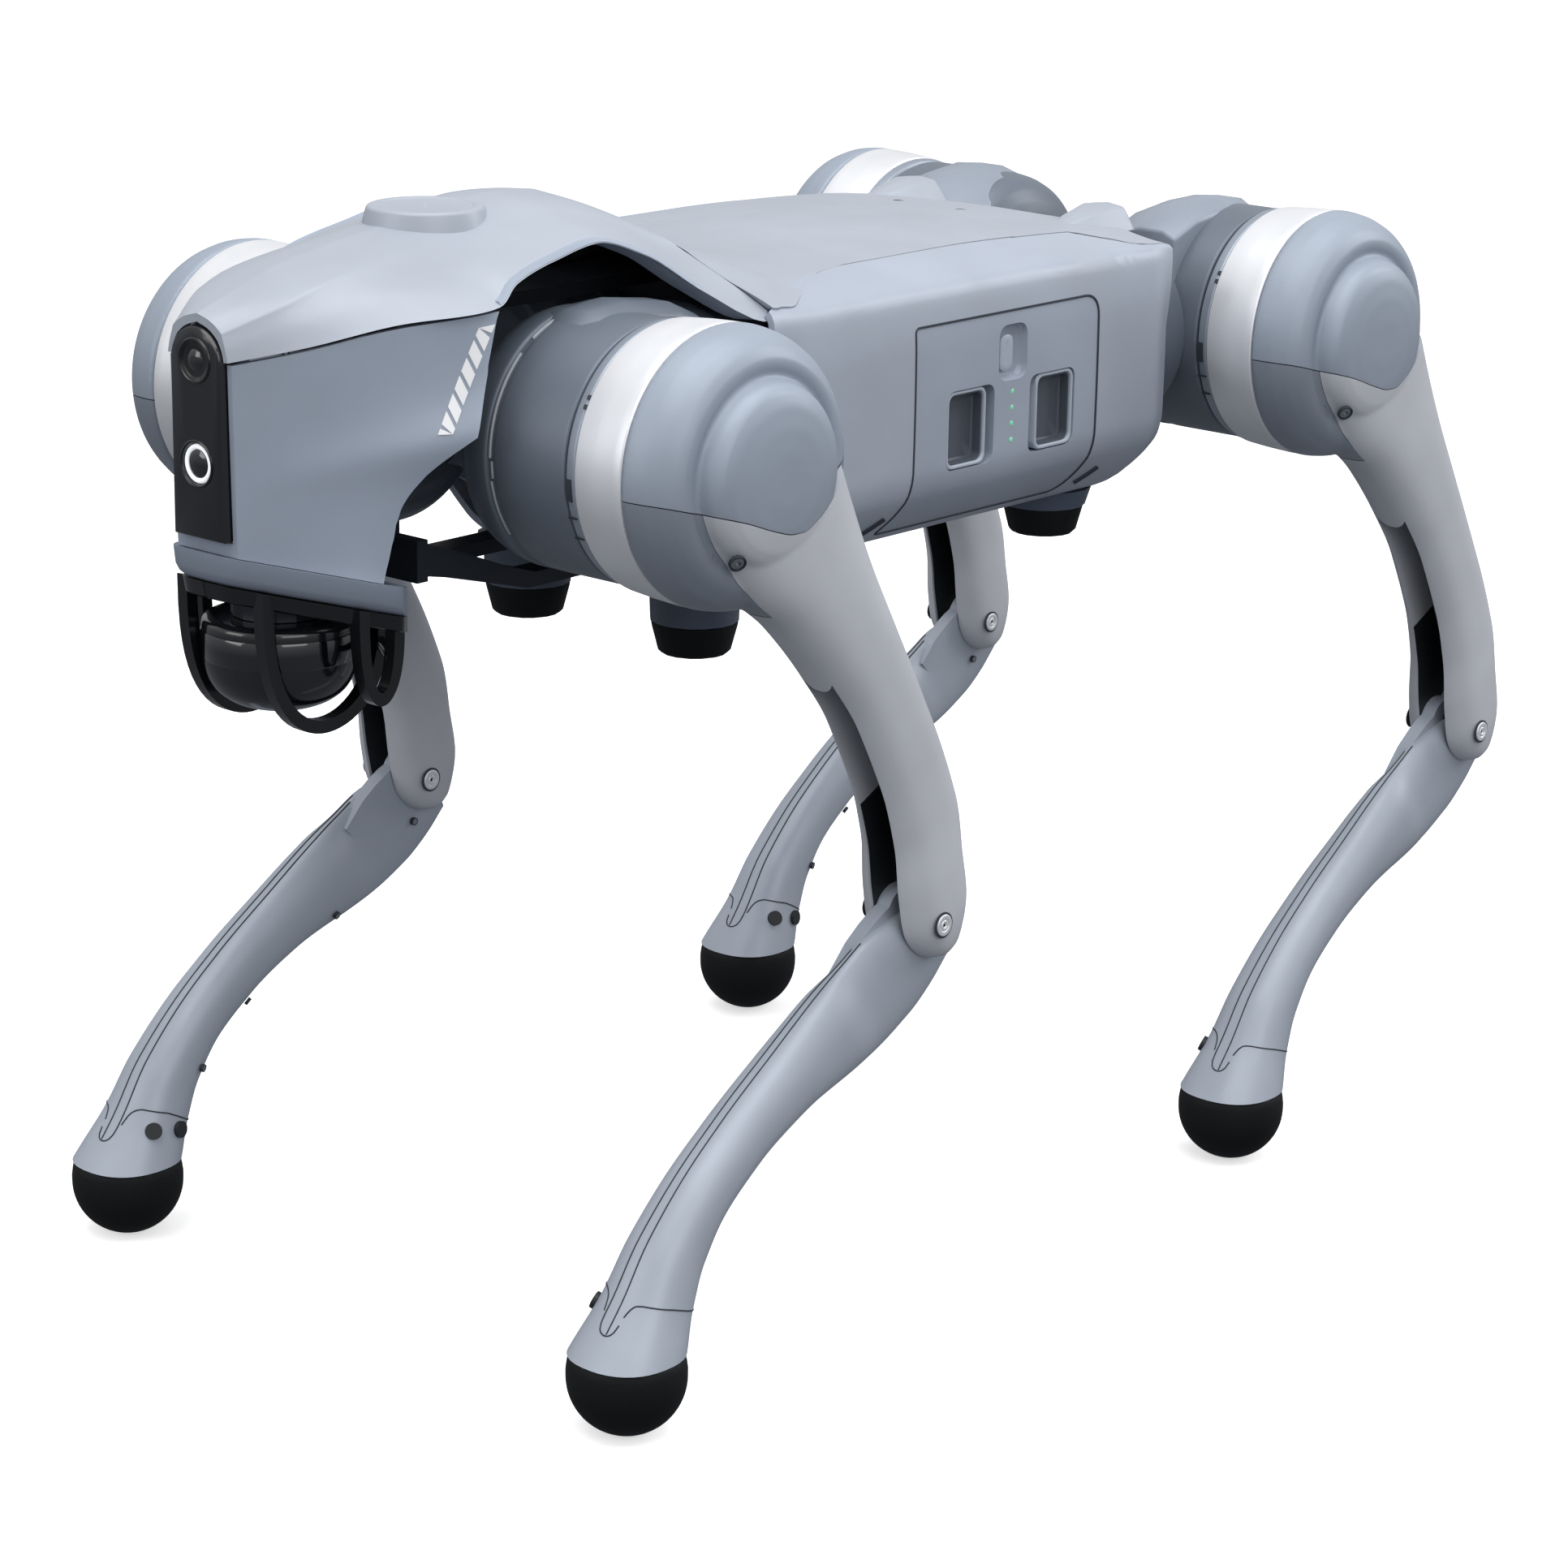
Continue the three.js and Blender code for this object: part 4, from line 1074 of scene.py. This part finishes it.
def thigh_slot_shade_sheets():
    """Thin dark sheets along the walls of the slot that the calf moves in: painted shade inside the slot.
    """
    parts = [block((-22.9, -22.6), (-7, 7), (-200, -60))]
    for low, high in ((6.95, 7.2), (-7.2, -6.95)):
        rings = []
        for down, front, rear, half in smooth_table(THIGH_SECTIONS, 0, 60):
            if 158 < down < 224:
                ring = ((-19, low), (front - 2, low), (front - 2, high), (-19, high))
                rings.append([(x, y, -down) for x, y in ring])
        parts.append(loft(rings))
    return parts


def calf_place(row):
    """Maps the unit section of the calf at one row of its table to points."""
    forward, down, tilt, deep, half = row
    c, s = math.cos(math.radians(tilt)), math.sin(math.radians(tilt))
    return lambda u, v: (forward + deep * u * c, v * half, -down - deep * u * s)


def calf_point(down, angle):
    """Point of the calf's skin, at an angle from its front towards its outer side."""
    columns = [curve([(row[1], row[c]) for row in CALF_SECTIONS]) for c in range(5)]
    place = calf_place([column(down) for column in columns])
    t = math.radians(angle)
    return place(*(math.copysign(abs(side) ** 0.86, side) for side in (math.cos(t), math.sin(t))))


def calf_seams():
    """Fine joint lines of the calf: a rib down its front that ends in a loop, and a collar line."""
    return [tube([calf_point(*step) for step in smooth_path(line, 60)], 0.32, 6) for line in CALF_SEAMS]


def add_calf_fixings(name, body, where):
    """Screws along the inner rear of the calf, and the two round recesses above the foot, drawn as dark
    discs of painted shade.
    """
    for i, (down, angle) in enumerate(CALF_SCREWS + CALF_HOLES):
        point = Vector(calf_point(down, angle))
        along = Vector(calf_point(down + 2, angle)) - Vector(calf_point(down - 2, angle))
        around = Vector(calf_point(down, angle + 4)) - Vector(calf_point(down, angle - 4))
        normal = around.cross(along).normalized()
        if i < len(CALF_SCREWS):
            add_screw(f"{name}_calf_screw_{i}", point - normal * 0.6, normal, 1.7, body, where)
            continue
        # The recess is a shallow disc in the near-black finish: painted shade.
        hole = [(3.5, -1.5), (3.5, 0.25), (3.2, 0.35), (2.9, 0.15), (0, 0.1)]
        turn = Vector((0, 1, 0)).rotation_difference(normal).to_matrix().to_4x4()
        emit(f"{name}_calf_hole_{i}", [turned(hole, 28)], "recess_shade", body, (),
             where @ Matrix.Translation(point) @ turn)


def calf_mesh():
    rows = smooth_table(CALF_SECTIONS, 1, 70)
    body = mesh_from([loft([super_ring(40, 0.86, calf_place(row)) for row in rows])])
    parts = [
        loft([[(x, y, z) for x, z in CALF_TOP] for y in (-6.8, -0.3)]), pin_along_y(12, -6.8, -0.3),
        block((-5, 5), (-6.8, -0.3), (0, 17)), pin_along_y(5, -6.8, -0.3, (0, 17)),
        pin_along_y(2.4, -1, 6.2, (0, 17), 24),
    ]
    for part in parts:
        body = boolean(body, mesh_from([part]), "UNION")
    return body


def foot_mesh():
    quarter = [math.pi / 2 * i / 18 for i in range(19)]
    arc = [(FOOT_R * math.sin(t), -FOOT_R * math.cos(t)) for t in quarter]
    arc[0] = (0.1, -FOOT_R)
    profile = arc + [(FOOT_R, 2.5), (22.5, 5.5), (22.0, 8.0), (21.3, 8.7), (10, 8.8), (0.1, 8.8)]
    points, faces = turned(profile, 64)
    ball = [(x, z, y) for x, y, z in points]
    where = Matrix.Translation((0, 0, -LINK)) @ Matrix.Rotation(SHIN, 4, "Y")
    return mesh_from([moved((ball, faces), where)])


def hip_frame(end, side):
    return Matrix.Translation((end * HIP[0], side * HIP[1], 0)) @ Matrix.Diagonal((1, side, 1, 1))


def thigh_frame(end, side):
    offset = Matrix.Translation((0, LEG_OFFSET, 0))
    return hip_frame(end, side) @ offset @ Matrix.Rotation(THIGH_REST, 4, "Y")


def calf_frame(end, side):
    bend = Matrix.Rotation(-CALF_REST, 4, "Y")
    return thigh_frame(end, side) @ Matrix.Translation((0, 0, -LINK)) @ bend


def arc_strip(radius, y, start, stop, width, thick=0.5):
    """Thin raised strip on a drum, between two angles from the top towards the front."""
    rings = []
    for i in range(25):
        t = math.radians(mix(start, stop, i / 24))
        ring = []
        low, high = radius - 1, radius + thick
        for r, w in ((low, -width), (high, -width), (high, width), (low, width)):
            ring.append((r * math.sin(t), y + w, r * math.cos(t)))
        rings.append(ring)
    return loft(rings)


DRUM = [(0, -13.9), (33, -13.9), (39, -12.2), (44, -9), (47.4, -5), (49.2, 0), (49.9, 5), (50, 8.6),
        (48.9, 9.4), (48.9, 12.4), (49.9, 13.2), (50, 20), (50, 48.4), (49.4, 49.1), (0, 49.1)]


FULL_TURN = [2 * math.pi * i / 72 for i in range(72)]


def turned_along_x(profile):
    """Turned piece about the X axis from (x, radius) pairs."""
    return loft([[(x, r * math.cos(t), r * math.sin(t)) for t in FULL_TURN] for x, r in profile])


def hip_link_parts():
    flange = turned_along_x([(-64.4, 42), (-63.6, 43), (-50, 43), (-48.4, 41.5)])
    neck = loft([
        [(mix(-52, -16, s), mix(0, 7, s) + r * math.cos(t), r * 0.98 * math.sin(t)) for t in FULL_TURN]
        for s, r in ((0, 37), (0.3, 35.5), (0.7, 34), (1, 34))
    ])
    return [flange, neck, turned(rounded(DRUM, 1.2), 96)]


def add_hip(name, end, side):
    where = hip_frame(end, side) @ Matrix.Diagonal((end, 1, 1, 1))
    body = f"{name}_hip"
    emit(f"{name}_hip_skin", hip_link_parts(), "dark", body,
         [f"{name}_hip_link"], where, sharp=40)
    bridge = [
        [(x, y, z) for x, z in ((-46, base), (-30, base + rise), (-6, base + rise + 3),
                                (12, base + rise + 1), (26, base - 3), (20, 20), (-46, 20))]
        for y, base, rise in ((-8, 34, 4), (0, 40, 6), (14, 43, 7), (26, 43, 7), (33, 40, 6))
    ]
    # The rear bridges take a lighter paint than the front ones: painted light on their tops.
    emit(f"{name}_hip_bridge", [loft(bridge)], "dark" if end > 0 else "bridge", body,
         (), where, bevel=1.5)
    dashes = [(10.8, 14, 33, 0.3), (10.8, 42, 90, 0.3), (11.8, 91.5, 99, 0.3), (10.8, 100.5, 128, 0.22)]
    parts = [arc_strip(49.3, y, a, b, w, 0.3) for y, a, b, w in dashes]
    emit(f"{name}_ring_dashes", parts, "dash", body, (), where)
    motor = turned_along_x([(-108, 36), (-107, 37.6), (-97, 38), (-96, 36.6), (-94, 36.6), (-93, 38),
                            (-66.4, 38), (-65.6, 37)])
    emit(f"{name}_hip_motor_skin", [motor], "dark", "trunk",
         [f"{name}_hip_motor"], where)


def add_motor_ring(name, where, body):
    collar = [(0, -45.6), (48.8, -45.6), (50.4, -44.8), (50.9, -41), (50.6, -40.4), (0, -40.4)]
    emit(f"{name}_motor_collar", [turned(rounded(collar, 0.4), 96)], "collar", body,
         (), where)
    ring = [(0, -40.3), (50.7, -40.3), (51.5, -39.6), (52.3, -30), (52.8, -20), (52.8, -16.8),
            (52.2, -16.2), (0, -16.2)]
    emit(f"{name}_motor_ring", [turned(rounded(ring, 0.4), 96)], "silver", body,
         [f"{name}_knee_motor"], where)
    upright_turn = where @ Matrix.Rotation(-THIGH_REST, 4, "Y")
    squares = [arc_strip(50.9, -40.6, a, a + 1.9, 0.85, 0.5) for a in (56, 60.2)]
    squares.append(arc_strip(50.6, -43.4, 91.5, 101, 1.3, 0.5))
    emit(f"{name}_motor_marks", squares, "seam", body, (), upright_turn)
    lines = [arc_strip(50.7, -43.4, 108, 108.8, 2.2, 0.4), arc_strip(50.7, -43.4, 118, 118.8, 2.2, 0.4)]
    emit(f"{name}_collar_joints", lines, "seam", body, (), upright_turn)


KNEE_BOLT = [(0, 18.2), (4.3, 18.2), (4.4, 18.9), (4.1, 19.2), (2.6, 19.2), (2.4, 18.9), (2.1, 18.9),
             (1.9, 19.2), (1.1, 19.2), (0.9, 18.6), (0, 18.6)]
KNEE_GAP = [(0, 18.1), (5.2, 18.1), (5.2, 18.6), (0, 18.6)]


def add_knee_bolts(name, body, where):
    for face, label in ((1, "outer"), (-1, "inner")):
        gap, bolt = ([(r, y * face) for r, y in line] for line in (KNEE_GAP, rounded(KNEE_BOLT, 0.2)))
        emit(f"{name}_knee_gap_{label}", [turned(gap, 40, (0, -LINK))], "seam", body,
             (), where)
        nodes = [f"{name}_knee_pin"] if face > 0 else ()
        emit(f"{name}_knee_bolt_{label}", [turned(bolt, 48, (0, -LINK))], "silver", body,
             nodes, where)


def add_leg(end, side, shapes):
    name = ("front_" if end > 0 else "rear_") + side_label(side)
    add_hip(name, end, side)
    body = f"{name}_thigh"
    where = thigh_frame(end, side)
    emit(f"{name}_cap_skin", shapes["cap"], "cap", body, [f"{name}_thigh_cap"], where,
         sharp=40)
    emit(f"{name}_thigh_skin", shapes["thigh"], "thigh", body,
         [f"{name}_thigh_shell"], where, sharp=48)
    # Darker skirt finish: painted shade on the inner side of the thigh head.
    emit(f"{name}_head_skirt", shapes["skirt"], "skirt", body, (), where,
         sharp=48)
    add_motor_ring(name, where, body)
    add_screw(f"{name}_cap_screw", (31.8, 12.6, -15.5), (0.7, 1, -0.3), 3.3, body, where)
    # Dark sheets in the thigh slot: painted shade.
    emit(f"{name}_slot_shade_panels", thigh_slot_shade_sheets(), "recess_shade", body, (), where)
    add_knee_bolts(name, body, where)
    shin = calf_frame(end, side)
    calf = f"{name}_calf"
    emit(f"{calf}_skin", shapes["calf"], "calf", calf, [calf], shin, sharp=48)
    add_calf_fixings(name, calf, shin)
    emit(f"{calf}_seams", calf_seams(), "seam", calf, (), shin)
    emit(f"{name}_foot_skin", shapes["foot"], "rubber", calf, [f"{name}_foot"], shin,
         sharp=40)


# ---------- Carried-over CAD nodes ----------
CARRIED = {"chassis": "frame", "main_board": "board"}
for end_name in ("front", "rear"):
    for side_name in ("left", "right"):
        CARRIED[f"{end_name}_{side_name}_knee_crank"] = "steel"
        CARRIED[f"{end_name}_{side_name}_push_rod"] = "frame"


def dress_cad():
    for node, key in CARRIED.items():
        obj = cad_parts[node]
        for index in range(len(obj.material_slots)):
            obj.material_slots[index].material = FINISH[key]


# ---------- Stage ----------
def add_light(name, location, target, size, power):
    data = bpy.data.lights.new(name, "AREA")
    data.shape = "RECTANGLE"
    data.size, data.size_y = size
    data.energy = power
    obj = add_object(name, data)
    obj.location = location
    aim = Vector(target) - Vector(location)
    obj.rotation_euler = aim.to_track_quat("-Z", "Y").to_euler()


def add_floor():
    size = 14.0
    mesh = bpy.data.meshes.new("floor")
    corners = [(-size, -size, 0), (size, -size, 0), (size, size, 0), (-size, size, 0)]
    mesh.from_pydata(corners, [], [(0, 1, 2, 3)])
    material = bpy.data.materials.new("floor_white")
    material.use_nodes = True
    set_inputs(shader_of(material), {
        "Base Color": (0.9, 0.9, 0.9, 1),
        "Roughness": 0.9,
        "Specular IOR Level": 0.0,
        "Emission Color": (1, 1, 1, 1),
        "Emission Strength": 0.55,
    })
    mesh.materials.append(material)
    floor = add_object("floor", mesh)
    floor.visible_glossy = False
    floor.visible_diffuse = False


def add_world():
    world = bpy.data.worlds.new("studio")
    bpy.context.scene.world = world
    world.use_nodes = True
    tree = world.node_tree
    background = tree.nodes["Background"]
    where = add_node(tree, "ShaderNodeTexCoord")
    split = add_node(tree, "ShaderNodeSeparateXYZ")
    tree.links.new(where.outputs["Generated"], split.inputs[0])
    remap = add_node(tree, "ShaderNodeMapRange")
    remap.inputs["From Min"].default_value = -1
    tree.links.new(split.outputs["Z"], remap.inputs["Value"])
    sky = ramp(tree, remap.outputs["Result"], [
        (0.0, (0.24, 0.255, 0.285, 1)), (0.38, (0.26, 0.275, 0.3, 1)), (0.5, (0.55, 0.565, 0.6, 1)),
        (0.62, (0.9, 0.9, 0.91, 1)), (1.0, (0.95, 0.95, 0.95, 1)),
    ])
    tree.links.new(sky, background.inputs["Color"])
    background.inputs["Strength"].default_value = 0.62


def add_camera():
    data = bpy.data.cameras.new("camera")
    data.lens = CAMERA_LENS
    data.sensor_width = 36
    data.shift_x, data.shift_y = CAMERA_SHIFT
    data.clip_end = 50
    camera = add_object("camera", data)
    turn = (CAMERA_TO - CAMERA_AT).to_track_quat("-Z", "Y").to_matrix().to_4x4()
    camera.matrix_world = Matrix.Translation(CAMERA_AT) @ turn @ Matrix.Rotation(CAMERA_ROLL, 4, "Z")
    bpy.context.scene.camera = camera


add_camera()
add_world()
add_floor()
add_light("top_softbox", (0.3, 0.3, 2.2), (0, 0, 0.3), (2.2, 2.2), 40)
add_light("front_left_softbox", (1.1, 2.2, 1.3), (0, 0, 0.25), (1.6, 1.2), 12)
add_light("nose_softbox", (2.4, -0.9, 1.1), (0, 0, 0.3), (1.2, 1.2), 10)
add_light("rear_strip", (-2.0, 1.2, 1.4), (0, 0, 0.3), (0.6, 1.6), 16)
bpy.context.scene.view_settings.view_transform = "Standard"

add_head_cover()
add_arch_lips()
add_back_cover()
add_side_shell()
add_battery()
add_face()
add_sensor_panel()
add_chin()
add_scanner()
add_pads()
cap, thigh, skirt = thigh_meshes()
SHAPES = {"cap": cap, "thigh": thigh, "skirt": skirt, "calf": calf_mesh(), "foot": foot_mesh()}
for leg_end, leg_side in LEGS:
    add_leg(leg_end, leg_side, SHAPES)
dress_cad()
for back_side in (1, -1):
    add_screw("back_screw_" + side_label(back_side), (-79, back_side * 17, 52.3), (0, 0.1, 1), 2.6,
              "trunk")
